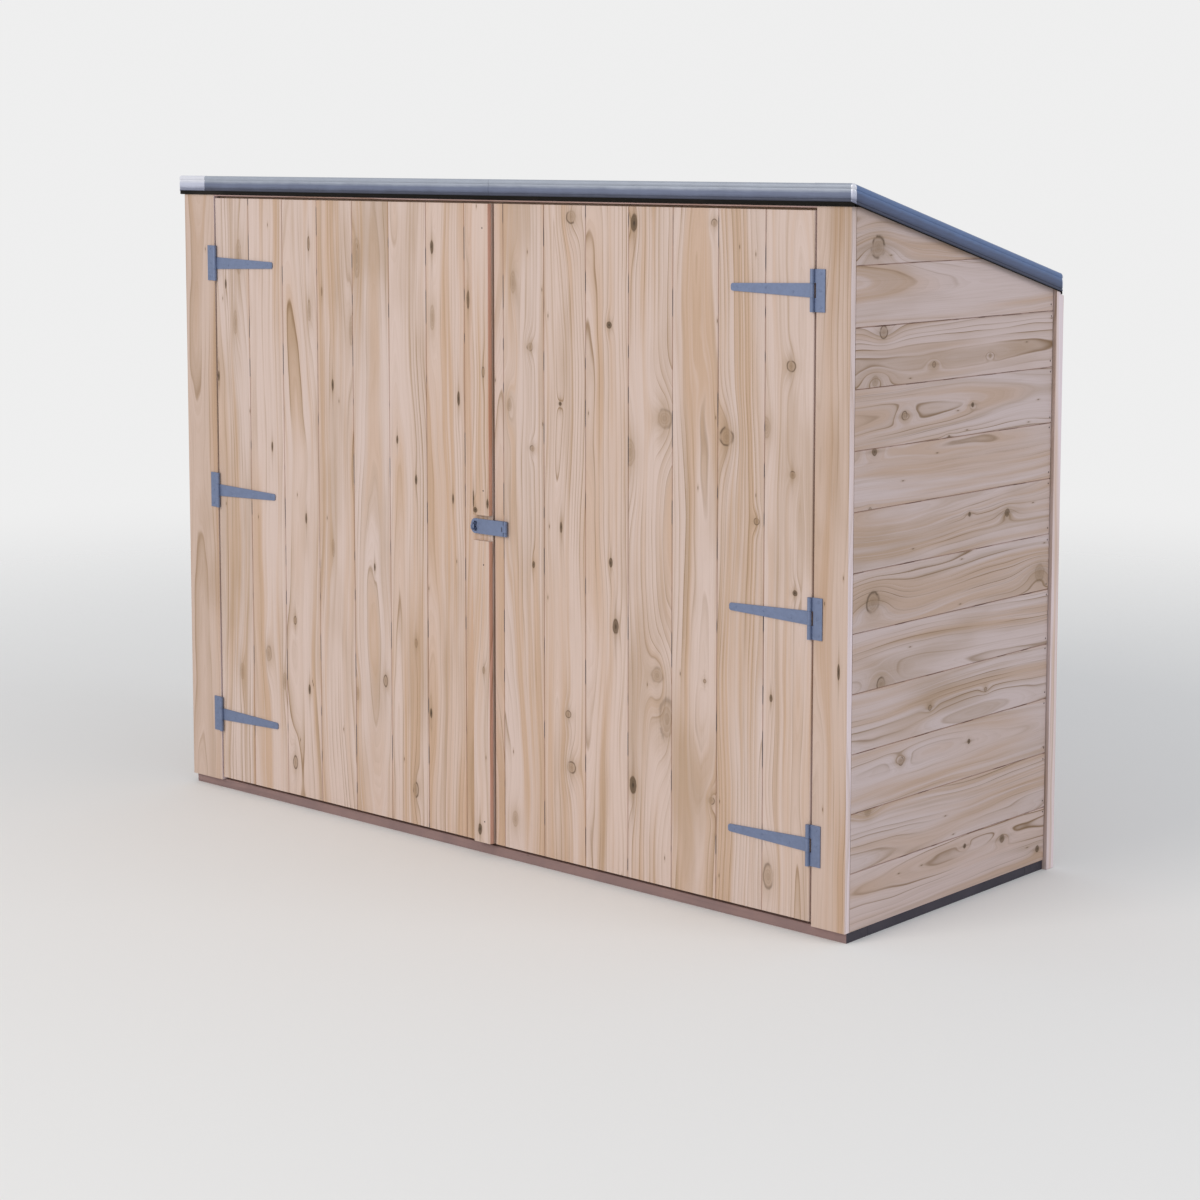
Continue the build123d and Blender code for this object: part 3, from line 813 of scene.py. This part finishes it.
def run_of_boards(
    node, run, axes, seams, material, knots=(), cuts=(), end_gaps=(0, 0),
    body="store",
):
    """Boards side by side for a node, in a run given as block gives it. Seams are the places across it where
    one board ends and the next begins."""
    timber = Timber(node.rsplit("_", 1)[0] + "_boards", shaded_dirty_joints=True)
    origin, width, thickness, length = run
    across, inward, _ = axes
    edges = [0.0] + [seam for seam in seams if LEAST_BOARD < seam < width - LEAST_BOARD] + [width]
    for number, (near, far) in enumerate(zip(edges[:-1], edges[1:])):
        last = number == len(edges) - 2
        board = far - near - (0 if last else GAP)
        section = tongue_and_groove(board, thickness, groove=number > 0, tongue=not last)
        set_in = timber.random.uniform(0, MOST_SET_IN)
        start = origin + across * near + inward * set_in
        trimmed = timber.random.uniform(0, MOST_TRIMMED)
        low_end = end_gaps[0] + trimmed
        high_end = length - end_gaps[1] - trimmed
        part = loft(section, start, axes, low_end, high_end, WANDER, timber.random)
        for point, normal in cuts:
            cut(part, point, normal)
        own = [(u - near, w, radius, code) for u, w, radius, code in knots if near <= u < far]
        if part.faces:
            face_outwards(part)
            outer_edges = [-across] * (number == 0) + [across] * last
            timber.add(part, start, axes, board, own, outer_edges)
        part.free()
    timber.finish(material, body, node)


def dress(
    node, axes, material, ease, knots=(), edge_material=None, body="store",
):
    """The node's own timbers, with eased edges and the grain of the wood along them. Their knots are
    (across, along, radius, code) from the world's zero."""
    timber = Timber(node + "_timber", shaded_dirty_joints=False)
    source = bare_mesh(node)
    sharp = [edge for edge in source.edges if len(edge.link_faces) == 2 and edge.calc_face_angle(0) > 0.5]
    bmesh.ops.bevel(
        source, geom=sharp, offset=ease, segments=2, profile=0.6, affect="EDGES", clamp_overlap=True,
    )
    across, inward, along = axes
    for group in islands(source):
        members = set(group)
        part = bmesh.new()
        gather(part, [face for face in source.faces if face.verts[0] in members])
        face_outwards(part)
        low = [min(vertex.co.dot(axis) for vertex in group) for axis in axes]
        high = max(vertex.co.dot(across) for vertex in group)
        origin = across * low[0] + inward * low[1] + along * low[2]
        own = [(u - low[0], w - low[2], radius, code) for u, w, radius, code in knots if low[0] <= u <= high]
        timber.add(part, origin, axes, high - low[0], own)
        part.free()
    source.free()
    piece = timber.finish(material, body, node)
    # Faces that face along X take the edge material: painted highlight on the corner boards and posts,
    # painted shade on the cover strip and the front bearer
    if edge_material:
        piece.data.materials.append(edge_material)
        for face in piece.data.polygons:
            face.material_index = 1 if abs(face.normal.x) > 0.9 else 0


# Knots as they lie in the photograph: millimetres along and up, radius, and how dark. To the last, a whole
# number is added for how many times longer than wide the knot is.
LEFT_DOOR_KNOTS = [
    (-803, 1306, 12, 4.04), (-818, 1150, 8, 4.04), (-391, 1318, 13, 4.06), (-411, 1150, 8, 5.03),
    (-554, 1345, 4, 4.70), (-554, 1190, 7, 4.03), (-476, 1020, 4, 4.95), (-66, 1015, 4, 4.95),
    (-35, 1236, 4, 5.80), (-147, 1348, 5, 3.90), (-147, 1190, 8, 4.03), (-202, 823, 4, 3.95),
    (-573, 700, 3, 4.90), (-851, 1241, 3, 4.95), (-882, 1018, 3, 4.95), (-616, 452, 5, 2.60),
    (-206, 450, 5, 2.60), (-713, 359, 10, 2.12), (-568, 292, 4, 3.90), (-811, 303, 8, 3.05),
    (-656, 300, 8, 3.05), (-404, 306, 9, 2.05), (-307, 349, 7, 2.45), (-159, 296, 4, 3.95),
    (-621, 108, 8, 2.50), (-210, 111, 9, 2.50), (-690, 860, 3, 4.90), (-340, 610, 3, 3.90),
    (-480, 640, 6, 4.05), (-85, 790, 3, 4.90), (-262, 910, 3, 3.90), (-510, 1235, 3, 4.70),
]
RIGHT_DOOR_KNOTS = [
    (271, 1421, 14, 1.30), (447, 1412, 9, 2.97), (660, 1416, 8, 1.55), (101, 1278, 9, 3.05),
    (151, 1141, 9, 1.42), (378, 1198, 7, 1.90), (239, 1024, 5, 1.92), (89, 1012, 8, 2.05),
    (857, 1139, 11, 1.60), (531, 1012, 21, 1.12), (694, 988, 18, 1.52), (795, 1013, 12, 2.06),
    (862, 924, 8, 1.66), (773, 823, 7, 1.62), (157, 922, 7, 1.60), (383, 697, 5, 2.90),
    (870, 689, 6, 1.92), (397, 563, 8, 2.86), (512, 475, 17, 1.10), (539, 386, 22, 2.12),
    (270, 240, 13, 1.40), (446, 231, 9, 2.97), (660, 234, 8, 1.50), (103, 98, 10, 2.05),
    (808, 103, 13, 2.15), (261, 355, 8, 1.60), (436, 935, 16, 2.05), (241, 760, 4, 3.88),
    (160, 670, 4, 2.85), (812, 470, 4, 2.85), (640, 480, 4, 1.60),
]
RIGHT_SIDE_KNOTS = [
    (88, 1374, 22, 1.40), (109, 1207, 13, 1.45), (283, 1133, 6, 1.60), (486, 1139, 5, 1.60),
    (183, 1037, 9, 1.45), (424, 1041, 5, 1.90), (82, 1113, 12, 1.05), (83, 974, 8, 1.80),
    (83, 674, 22, 1.38), (113, 507, 14, 1.45), (285, 431, 6, 1.60), (488, 437, 5, 1.60),
    (185, 338, 9, 1.45), (429, 336, 5, 1.90), (74, 257, 12, 1.05), (561, 103, 9, 1.80),
    (419, 115, 5, 1.90), (701, 51, 7, 1.85), (560, 803, 9, 1.80), (419, 815, 5, 1.85),
    (690, 660, 20, 1.10), (340, 980, 5, 1.75), (70, 860, 5, 1.30),
]
STRIP_KNOTS = [
    (-4, 775, 6, 1.97), (-10, 800, 2.8, 7.97), (33, 792, 3.5, 3.95),
    (22, 1080, 4, 3.60), (6, 60, 6, 2.95), (20, 420, 4, 2.60),
]
POST_CRACK = [(979, 545, 3, 5.95)]


def in_metres(knots, zero_along=0.0, zero_up=0.0, turn=False):
    """Knots from a list above, in metres from a run's corner."""
    made = []
    for place, height, radius, code in knots:
        u = place / 1000 - zero_along
        w = height / 1000 - zero_up
        made.append((w, u, radius / 1000, code) if turn else (u, w, radius / 1000, code))
    return made


def scattered_knots(name, run, count):
    """Knots for the walls that the photograph doesn't show."""
    rng = random.Random(name)
    _, width, _, length = run
    found = []
    for _ in range(count):
        radius = rng.choice([4, 5, 6, 7, 9, 12, 18])
        u = rng.uniform(0.01, width - 0.01)
        w = rng.uniform(0.02, length - 0.02)
        found.append((u, w, radius / 1000, 1 + rng.uniform(0.05, 0.95)))
    return found


# Doors
def doors():
    axes = (X, Y, Z)
    for side, knots in (("left", LEFT_DOOR_KNOTS), ("right", RIGHT_DOOR_KNOTS)):
        node = f"{side}_door_panel"
        run = block(node, axes)
        corner, width = run[:2]
        seams = [PITCH * n for n in range(1, 12) if PITCH * n < width]
        if side == "right":
            seams = sorted(width - seam for seam in seams)
        knots = in_metres(knots, corner.x, corner.z)
        run_of_boards(node, run, axes, seams, FRONT_WOOD, knots, body=f"{side}_door")
    knots = in_metres(STRIP_KNOTS)
    dress("cover_strip", axes, FRONT_WOOD, TIMBER_EASE, knots, STRIP_EDGE_SHADED_WOOD, "left_door")
    for side in ("left", "right"):
        for kind, axes in (("ledges", (Z, Y, X)), ("braces", brace_axes(side))):
            dress(f"{side}_door_{kind}", axes, FRAME_WOOD, BRACE_EASE, body=f"{side}_door")


def brace_axes(side):
    low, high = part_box(f"{side}_door_ledges")
    rise = (high.z - low.z) / 2 * (1 if side == "left" else -1)
    run = Vector((high.x - low.x, 0, rise)).normalized()
    return (run.cross(Y).normalized(), Y, run)


# Walls
def walls():
    roof_cut = [(Vector((0, side_low.y, side_high.z)), ROOF_NORMAL)]
    seams = [SIDE_SEAM + PITCH * n - side_low.z for n in range(1, 13)]
    photographed = in_metres(RIGHT_SIDE_KNOTS, side_low.y - front_y, side_low.z, turn=True)
    for wall, axes, scattered, end_gaps in (
        ("right_side", (Z, -X, Y), 0, SIDE_END_GAPS),
        ("left_side", (Z, X, Y), 26, SIDE_END_GAPS),
        ("back", (Z, -Y, -X), 70, (0, 0)),
    ):
        node = f"{wall}_cladding"
        run = block(node, axes)
        knots = scattered_knots(wall.replace("_", " "), run, scattered) if scattered else photographed
        run_of_boards(node, run, axes, seams, SIDE_SHADED_WOOD, knots, roof_cut, end_gaps)
    upright = (X, Y, Z)
    for node, knots in (("left_corner_board", ()), ("right_corner_board", in_metres(POST_CRACK))):
        dress(node, upright, POST_WOOD, POST_EASE, knots, EDGE_HIGHLIGHT_WOOD)
    dress("door_header", (Z, Y, X), HEADER_SHADED_WOOD, POST_EASE)
    for node in ("left_rear_post", "right_rear_post"):
        dress(node, upright, SIDE_SHADED_WOOD, TIMBER_EASE, (), EDGE_HIGHLIGHT_WOOD)


def frame_timbers():
    runs = (
        ((X, Y, Z), ("left_front_post", "right_front_post", "side_studs", "back_studs")),
        ((Z, Y, X), ("head_rail", "back_bottom_rail", "back_top_rail")),
        ((X, Z, Y), ("left_bottom_rail", "right_bottom_rail")),
        ((X, ROOF_NORMAL, DOWNHILL), ("left_top_rail", "right_top_rail", "roof_rafters")),
    )
    for axes, nodes in runs:
        for node in nodes:
            dress(node, axes, FRAME_WOOD, TIMBER_EASE)


def base():
    axes = (Y, -Z, X)
    run = block("floor_deck", axes)
    seams = [DECK_PITCH * n for n in range(1, 8)]
    knots = scattered_knots("floor", run, 30)
    run_of_boards("floor_deck", run, axes, seams, FRAME_WOOD, knots)
    # Faces of the base away from the front take the painted-shade copy
    for name, axes, material, edge_material in (
        ("front_bearer", (Z, Y, X), BASE_FRONT, BASE_SHADED),
        ("rear_bearer", (Z, Y, X), BASE_SHADED, None),
        ("cross_bearers", (Z, X, Y), BASE_SHADED, None),
    ):
        dress(f"base_{name}", axes, material, BASE_EASE, (), edge_material)


# Roof
def roof_point(x, y, height=0.0):
    """A point over or under the roof's top plane."""
    return Vector((x, y, roof_top_z - roof_drop(y) + height))


def roof_deck():
    shy = ROOF_BOARD_SHY
    top = roof_point(deck_low.x + shy, deck_low.y, deck_high.z - roof_point(0, deck_low.y).z - shy)
    length = deck_high.x - deck_low.x
    span = (deck_high.y - deck_low.y) / math.cos(slope_angle)
    corner = top - DOWNHILL * ROOF_BOARD_SPARE
    run = (corner, span + 2 * ROOF_BOARD_SPARE, ROOF_BOARD - 2 * shy, length - 2 * shy)
    cuts = [(Vector((0, deck_low.y + shy, 0)), -Y), (Vector((0, deck_high.y - shy, 0)), Y)]
    seams = [DECK_PITCH * n for n in range(1, 9)]
    knots = scattered_knots("roof", (corner, span, ROOF_BOARD, length), 40)
    axes = (DOWNHILL, -ROOF_NORMAL, X)
    run_of_boards("roof_deck", run, axes, seams, FRAME_WOOD, knots, cuts)


def is_outer_corner(edge, low, high):
    """Whether the edge stands upright in one of the four outer corners of the box."""
    return all(
        min(abs(spot.co.x - low.x), abs(spot.co.x - high.x)) < 1e-4
        and min(abs(spot.co.y - low.y), abs(spot.co.y - high.y)) < 1e-4
        for spot in edge.verts
    )


def roof_sheet():
    """The rubber sheet, with its top cut into a fine grid and drawn in a little between its edges."""
    # Where the sheet hangs below the front trim, its black edge stands in for the shadow under the trim: a
    # painted shadow.
    mesh = bare_mesh("roof_membrane")
    low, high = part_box("roof_membrane")
    corners = [edge for edge in mesh.edges if is_outer_corner(edge, low, high)]
    rounding = CORNER_ROUND - TRIM_WALL
    bmesh.ops.bevel(mesh, geom=corners, offset=rounding, segments=4, profile=0.5, affect="EDGES")
    for axis, start, end in ((X, low.x, high.x), (Y, low.y, high.y)):
        count = int((end - start) / SHEET_GRID)
        for n in range(1, count):
            bisect(mesh, axis * (start + (end - start) * n / count), axis)
    rng = random.Random("roof sheet")
    ranges = ((low.x, high.x), (low.y, high.y), (-0.5, 0.5), (0.02, 0.05))
    creases = [[rng.uniform(*limits) for limits in ranges] for _ in range(SHEET_CREASES)]
    for vertex in mesh.verts:
        x, y, z = vertex.co
        on_top = abs(z - roof_point(x, y, -TRIM_WALL).z) < 0.0004
        edge = min(x - low.x, high.x - x, y - low.y, high.y - y) - TRIM_FLANGE - SHEET_MARGIN
        if on_top and edge > 0:
            dip = 0.0
            for crease_x, crease_y, lean, width in creases:
                across = (x - crease_x) - (y - crease_y) * lean
                dip += math.exp(-((across / width) ** 2))
            hollow = 0.5 + 0.5 * math.sin(x * 9.0 + 1.3 * math.sin(y * 11.0))
            vertex.co.z -= min(1.0, edge / DIP_FADE) * min(DEEPEST_DIP, SHEET_DIP * (dip + hollow))
    finish_mesh("roof_sheet", mesh, RUBBER, "store", "roof_membrane", SHEET_SMOOTH)


def trim_profile(set_in, height):
    """The trim's section as (distance in from the edge, height over the roof's top) points."""
    nose = TRIM_NOSE - set_in
    points = [(TRIM_FLANGE, -set_in), (TRIM_NOSE, -set_in)]
    for step in range(1, 9):
        turn = math.radians(90 * step / 8)
        points.append((set_in + nose * (1 - math.sin(turn)), -set_in - nose * (1 - math.cos(turn))))
    groove = [(0, 0.0108), (0.0004, 0.0114), (TRIM_GROOVE, 0.0120), (TRIM_GROOVE, 0.0132), (0.0005, 0.0144)]
    points += [(set_in + inset, -drop) for inset, drop in groove]
    face = height - TRIM_FACE_TOP - TRIM_FACE_FOOT
    for step in range(7):
        share = step / 6
        crown = TRIM_CROWN * (1 - (2 * share - 1) ** 2)
        points.append((set_in + TRIM_CROWN - crown, -TRIM_FACE_TOP - face * share))
    foot = [(0.0011, 0.0056), (0.0012, 0.0048), (0.0004, 0.0040), (0, 0.0028), (0, 0.0012), (0.0006, 0)]
    points += [(set_in + inset, rise - height) for inset, rise in foot]
    points += [
        (TRIM_WALL, -height),
        (TRIM_WALL, -TRIM_WALL - TRIM_BEVEL),
        (TRIM_WALL + TRIM_BEVEL, -TRIM_WALL),
        (TRIM_FLANGE, -TRIM_WALL),
    ]
    return points


def trim_length(edge, set_in, start=0.0, end=0.0):
    """A length of trim along one edge of the roof, from start to end along X, or along the whole side."""
    if edge in ("front", "rear"):
        sign, y = (1, roof_front_y) if edge == "front" else (-1, roof_back_y)
        section = [(d, h - sign * slope * d) for d, h in trim_profile(set_in, front_trim_height)]
        return loft(section, roof_point(0, y), (sign * Y, Z, X), start, end)
    sign = 1 if edge == "left" else -1
    section = trim_profile(set_in, side_trim_height)
    run = (roof_back_y - roof_front_y) / math.cos(slope_angle)
    return loft(section, roof_point(-sign * roof_reach, roof_front_y), (sign * X, Z, DOWNHILL), 0, run)


def mitre(part, edge):
    """Cuts an edge's trim through the roof's corners, and clear of the rounded piece that stands in each."""
    along_x = edge in ("front", "rear")
    for x_side, side in ((-1, "left"), (1, "right")):
        for y_side, y, end in ((-1, roof_front_y, "front"), (1, roof_back_y, "rear")):
            if edge in (side, end):
                corner = Vector((x_side * roof_reach, y, 0))
                across = Vector((x_side, -y_side, 0))
                outward = X * x_side if along_x else Y * y_side
                cut(part, corner, across if along_x else -across)
                cut(part, corner - outward * CORNER_ROUND, outward)
    return part


def trim_corner(x_side, y_side):
    """The rounded piece in a corner of the roof: the trim's section turned about an upright axis."""
    mesh = bmesh.new()
    y = roof_front_y if y_side < 0 else roof_back_y
    axis = Vector((x_side * (roof_reach - CORNER_ROUND), y - y_side * CORNER_ROUND, 0))
    steps = 8
    rings = []
    for step in range(steps + 1):
        turn = math.radians(90 * step / steps)
        out = X * (x_side * math.cos(turn)) + Y * (y_side * math.sin(turn))
        height = side_trim_height + (front_trim_height - side_trim_height) * step / steps
        section = trim_profile(0.0, height)[1:-1] + [(CORNER_ROUND, -TRIM_WALL)]
        spots = [(axis + out * (CORNER_ROUND - distance), rise) for distance, rise in section]
        rings.append([mesh.verts.new(roof_point(spot.x, spot.y, rise)) for spot, rise in spots])
    bridge(mesh, rings)
    bmesh.ops.remove_doubles(mesh, verts=mesh.verts, dist=WELD / 10)
    return mesh


def trim_piece(name, mesh, material, node=None, smooth_angle=TRIM_SMOOTH):
    finish_mesh(name, mesh, material, "store", node, smooth_angle)


def trims():
    lengths = (
        (CORNER_PIECE - roof_reach, TRIM_JOINT_X),
        (TRIM_JOINT_X + TRIM_JOINT_GAP, roof_reach - CORNER_PIECE),
    )
    for edge, y_side in (("front", -1), ("rear", 1)):
        joined = bmesh.new()
        for start, end in lengths:
            part = trim_length(edge, TRIM_SET_IN, start, end)
            gather(joined, part.faces)
            part.free()
        trim_piece(f"trim_{edge}", joined, TRIM_FRONT, f"roof_trim_{edge}")
        for side, x_side, start, material in (
            ("left", -1, -roof_reach, TRIM_PALE_AND_HIGHLIGHT),
            ("right", 1, roof_reach - CORNER_PIECE, TRIM_FRONT),
        ):
            end_piece = mitre(trim_length(edge, 0.0, start, start + CORNER_PIECE), edge)
            trim_piece(f"trim_{edge}_{side}_end", end_piece, material)
            corner = trim_corner(x_side, y_side)
            # Each rounded corner piece is pale: a painted highlight on its crease
            trim_piece(f"trim_{edge}_{side}_corner", corner, TRIM_PALE_AND_HIGHLIGHT, None, CORNER_SMOOTH)
    for edge in ("left", "right"):
        part = mitre(trim_length(edge, TRIM_SET_IN), edge)
        trim_piece(f"trim_{edge}", part, TRIM_SIDE_SHADED, f"roof_trim_{edge}")


# Fittings and fasteners
def fastener(name, mesh, material, body):
    return finish_mesh(name, mesh, material, body, None, FITTING_SMOOTH)


def node_boxes(node):
    """The lowest and highest corner of each separate solid of a node, from the lowest solid up."""
    source = bare_mesh(node)
    boxes = []
    for group in islands(source):
        places = list(zip(*[vertex.co for vertex in group]))
        boxes.append(tuple(Vector([pick(place) for place in places]) for pick in (min, max)))
    source.free()
    return sorted(boxes, key=lambda box: box[0].z)


def screw_head(target, centre, radius, turn):
    """A domed screw head that faces the front, with a cross recess."""
    def spot(share, angle, rise):
        u = radius * share * math.cos(angle)
        w = radius * share * math.sin(angle)
        arm_u = abs(u * math.cos(turn) + w * math.sin(turn))
        arm_w = abs(w * math.cos(turn) - u * math.sin(turn))
        in_arm = min(arm_u, arm_w) < radius * RECESS_HALF_WIDTH and 0 < share < RECESS_REACH
        return centre + Vector((u, -SCREW_HEIGHT * (rise - (RECESS_DEPTH if in_arm else 0)), w))
    head(target, SCREW_PROFILE, 24, spot)


def nail_head(target, centre, normal):
    """A small flat nail head that faces along the normal."""
    facing = normal.to_track_quat("Z", "Y")

    def spot(share, angle, rise):
        radius = NAIL_RADIUS * share
        local = (radius * math.cos(angle), radius * math.sin(angle), NAIL_HEIGHT * rise)
        return centre + facing @ Vector(local)
    head(target, NAIL_PROFILE, 12, spot)


def hinge_screws():
    """Three screws in each plate and three in each strap, at their shares of its height or length."""
    screw_y = front_y - HINGE_SHEET
    for side, away in (("left", -1), ("right", 1)):
        plates = bmesh.new()
        for low, high in node_boxes(f"{side}_hinge_plates"):
            outer = low.x if away < 0 else high.x
            for share, inset in PLATE_SCREWS:
                centre = Vector((outer - away * inset, screw_y, high.z - (high.z - low.z) * share))
                screw_head(plates, centre, SCREW_RADIUS, share * 7)
        fastener(f"{side}_plate_screws", plates, GALVANISED, "store")
        straps = bmesh.new()
        for low, high in node_boxes(f"{side}_hinge_straps"):
            root = high.x if away > 0 else low.x
            middle = (low.z + high.z) / 2
            for share, drop in STRAP_SCREWS:
                centre = Vector((root - away * (high.x - low.x) * share, screw_y, middle + drop))
                screw_head(straps, centre, STRAP_SCREW_RADIUS, share * 9)
        fastener(f"{side}_strap_screws", straps, GALVANISED, f"{side}_door")


def nails():
    strips = bmesh.new()
    strip_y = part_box("cover_strip")[0].y
    for height in STRIP_NAIL_HEIGHTS:
        nail_head(strips, Vector((STRIP_NAIL_X, strip_y, height)), -Y)
    fastener("strip_nails", strips, NAIL_STEEL, "left_door")
    sides = bmesh.new()
    rng = random.Random("side nails")
    for side in (-1, 1):
        for n in range(1, 11):
            for rise in SIDE_NAIL_RISES:
                y = side_high.y - rng.uniform(*SIDE_NAIL_INSETS)
                z = SIDE_SEAM + PITCH * n + rise + rng.uniform(-SIDE_NAIL_STRAY, SIDE_NAIL_STRAY)
                if z < side_high.z - (y - side_low.y) * slope - SIDE_NAIL_ROOM:
                    nail_head(sides, Vector((side * side_high.x, y, z)), side * X)
    fastener("side_nails", sides, NAIL_STEEL, "store")


def hasp_rivet():
    """The small oval rivet beside the flap's hinge: a raised rim about a narrow hollow."""
    flap = frame["nodes"]["hasp_flap"].data
    low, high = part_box("hasp_flap")
    plate_y = min(vertex.co.y for vertex in flap.vertices if vertex.co.x < low.x + RIVET_HEIGHT)
    centre = Vector((high.x - RIVET_FROM_END, plate_y, (low.z + high.z) / 2 - RIVET_DROP))
    straight = (RIVET_HEIGHT - RIVET_WIDTH) / 2

    def spot(share, angle, rise):
        u = RIVET_WIDTH / 2 * share * math.cos(angle)
        w = RIVET_WIDTH / 2 * share * math.sin(angle) + math.copysign(straight, math.sin(angle + 1e-6))
        return centre + Vector((u, -RIVET_RISE * rise, w))
    mesh = bmesh.new()
    hollow = head(mesh, RIVET_PROFILE, 32, spot)
    hollow.material_index = 1
    piece = fastener("hasp_rivet", mesh, GALVANISED, "hasp_flap")
    piece.data.materials.append(NAIL_STEEL)


def fittings():
    """The hinges and the hasp keep their own shapes, with eased edges."""
    names = [
        "left_hinge_plates", "right_hinge_plates", "left_hinge_straps", "right_hinge_straps",
        "hasp_leaf", "hasp_flap", "hasp_staple",
    ]
    for name in names:
        piece = frame["nodes"][name]
        piece.data.materials.clear()
        piece.data.materials.append(GALVANISED)
        if name != "hasp_staple":
            bevel = piece.modifiers.new("eased_edges", "BEVEL")
            bevel.width = FITTING_EASE
            bevel.segments = 2
            bevel.limit_method = "ANGLE"
            bevel.angle_limit = math.radians(40)


# Stage
def floor():
    """A pale round floor that thins out to the backdrop at its rim."""
    mesh = bmesh.new()
    bmesh.ops.create_circle(mesh, cap_ends=True, segments=96, radius=14)
    g = Surface("floor_pale", (0.88, 0.88, 0.87), 0.9, specular=0.1)
    x, y, _ = g.split(g.place())
    distance = g.math("SQRT", x * x + y * y)
    clear = g.wire("ShaderNodeBsdfTransparent")
    parts = (g.fade(distance, 1.4, 6.0), Wire(g, g.shader.outputs[0]), clear)
    output = next(node for node in g.tree.nodes if node.type == "OUTPUT_MATERIAL")
    g.put(output.inputs[0], g.wire("ShaderNodeMixShader", parts))
    stage = mesh_object("floor", mesh, g.material)
    stage.location.z = cad_low.z


def world():
    """An even pale surround, lighter to the camera and in glossy surfaces than where it lights the part."""
    surround = bpy.data.worlds.new("studio")
    surround.use_nodes = True
    bpy.context.scene.world = surround
    surround.node_tree.nodes.clear()
    g = Graph(surround.node_tree)
    path = g.node("ShaderNodeLightPath")
    camera_ray, glossy_ray, clear_ray = [
        Wire(g, path.outputs[name]) for name in ("Is Camera Ray", "Is Glossy Ray", "Is Transmission Ray")
    ]
    seen = g.math("MAXIMUM", g.math("MAXIMUM", camera_ray, glossy_ray), clear_ray)
    lighting = g.wire("ShaderNodeBackground", ((0.94, 0.96, 1.0), 0.62))
    backdrop = g.wire("ShaderNodeBackground", ((0.86, 0.86, 0.86), 1.0))
    g.node("ShaderNodeOutputWorld", [g.wire("ShaderNodeMixShader", (seen, lighting, backdrop))])


def area_light(name, place, aim, size, energy, colour):
    light = bpy.data.lights.new(name, "AREA")
    light.shape = "SQUARE"
    light.size = size
    light.energy = energy
    light.color = colour
    lamp = placed(name, light)
    lamp.location = place
    lamp.rotation_euler = (Vector(aim) - Vector(place)).to_track_quat("-Z", "Y").to_euler()


def lights():
    area_light("key", (-1.6, -9.0, 5.0), (0.1, 0, 0.7), 5.0, 385, (1.0, 0.945, 0.875))
    area_light("fill", (5.5, 1.0, 4.0), (0.5, 0, 0.7), 3.0, 55, (0.95, 0.97, 1.0))


def camera():
    """The photograph's viewpoint. Part of the photograph's vertical shift is kept and the rest is tilt."""
    photo_size = 1200
    focal_px = 2589
    horizon_px = 147
    shift_px = 180
    yaw = math.radians(41.81)
    pitch = math.atan((photo_size / 2 - shift_px - horizon_px) / focal_px)
    lens = bpy.data.cameras.new("camera")
    lens.lens = focal_px / photo_size * lens.sensor_width
    lens.shift_y = -shift_px / photo_size
    viewer = placed("camera", lens)
    viewer.location = (3.9557, -4.3948, 1.5673)
    viewer.rotation_euler = (math.pi / 2 - pitch, 0, yaw)
    bpy.context.scene.camera = viewer


doors()
walls()
frame_timbers()
base()
roof_deck()
roof_sheet()
trims()
fittings()
hinge_screws()
hasp_rivet()
nails()
floor()
world()
lights()
camera()
bpy.context.scene.view_settings.view_transform = "Standard"
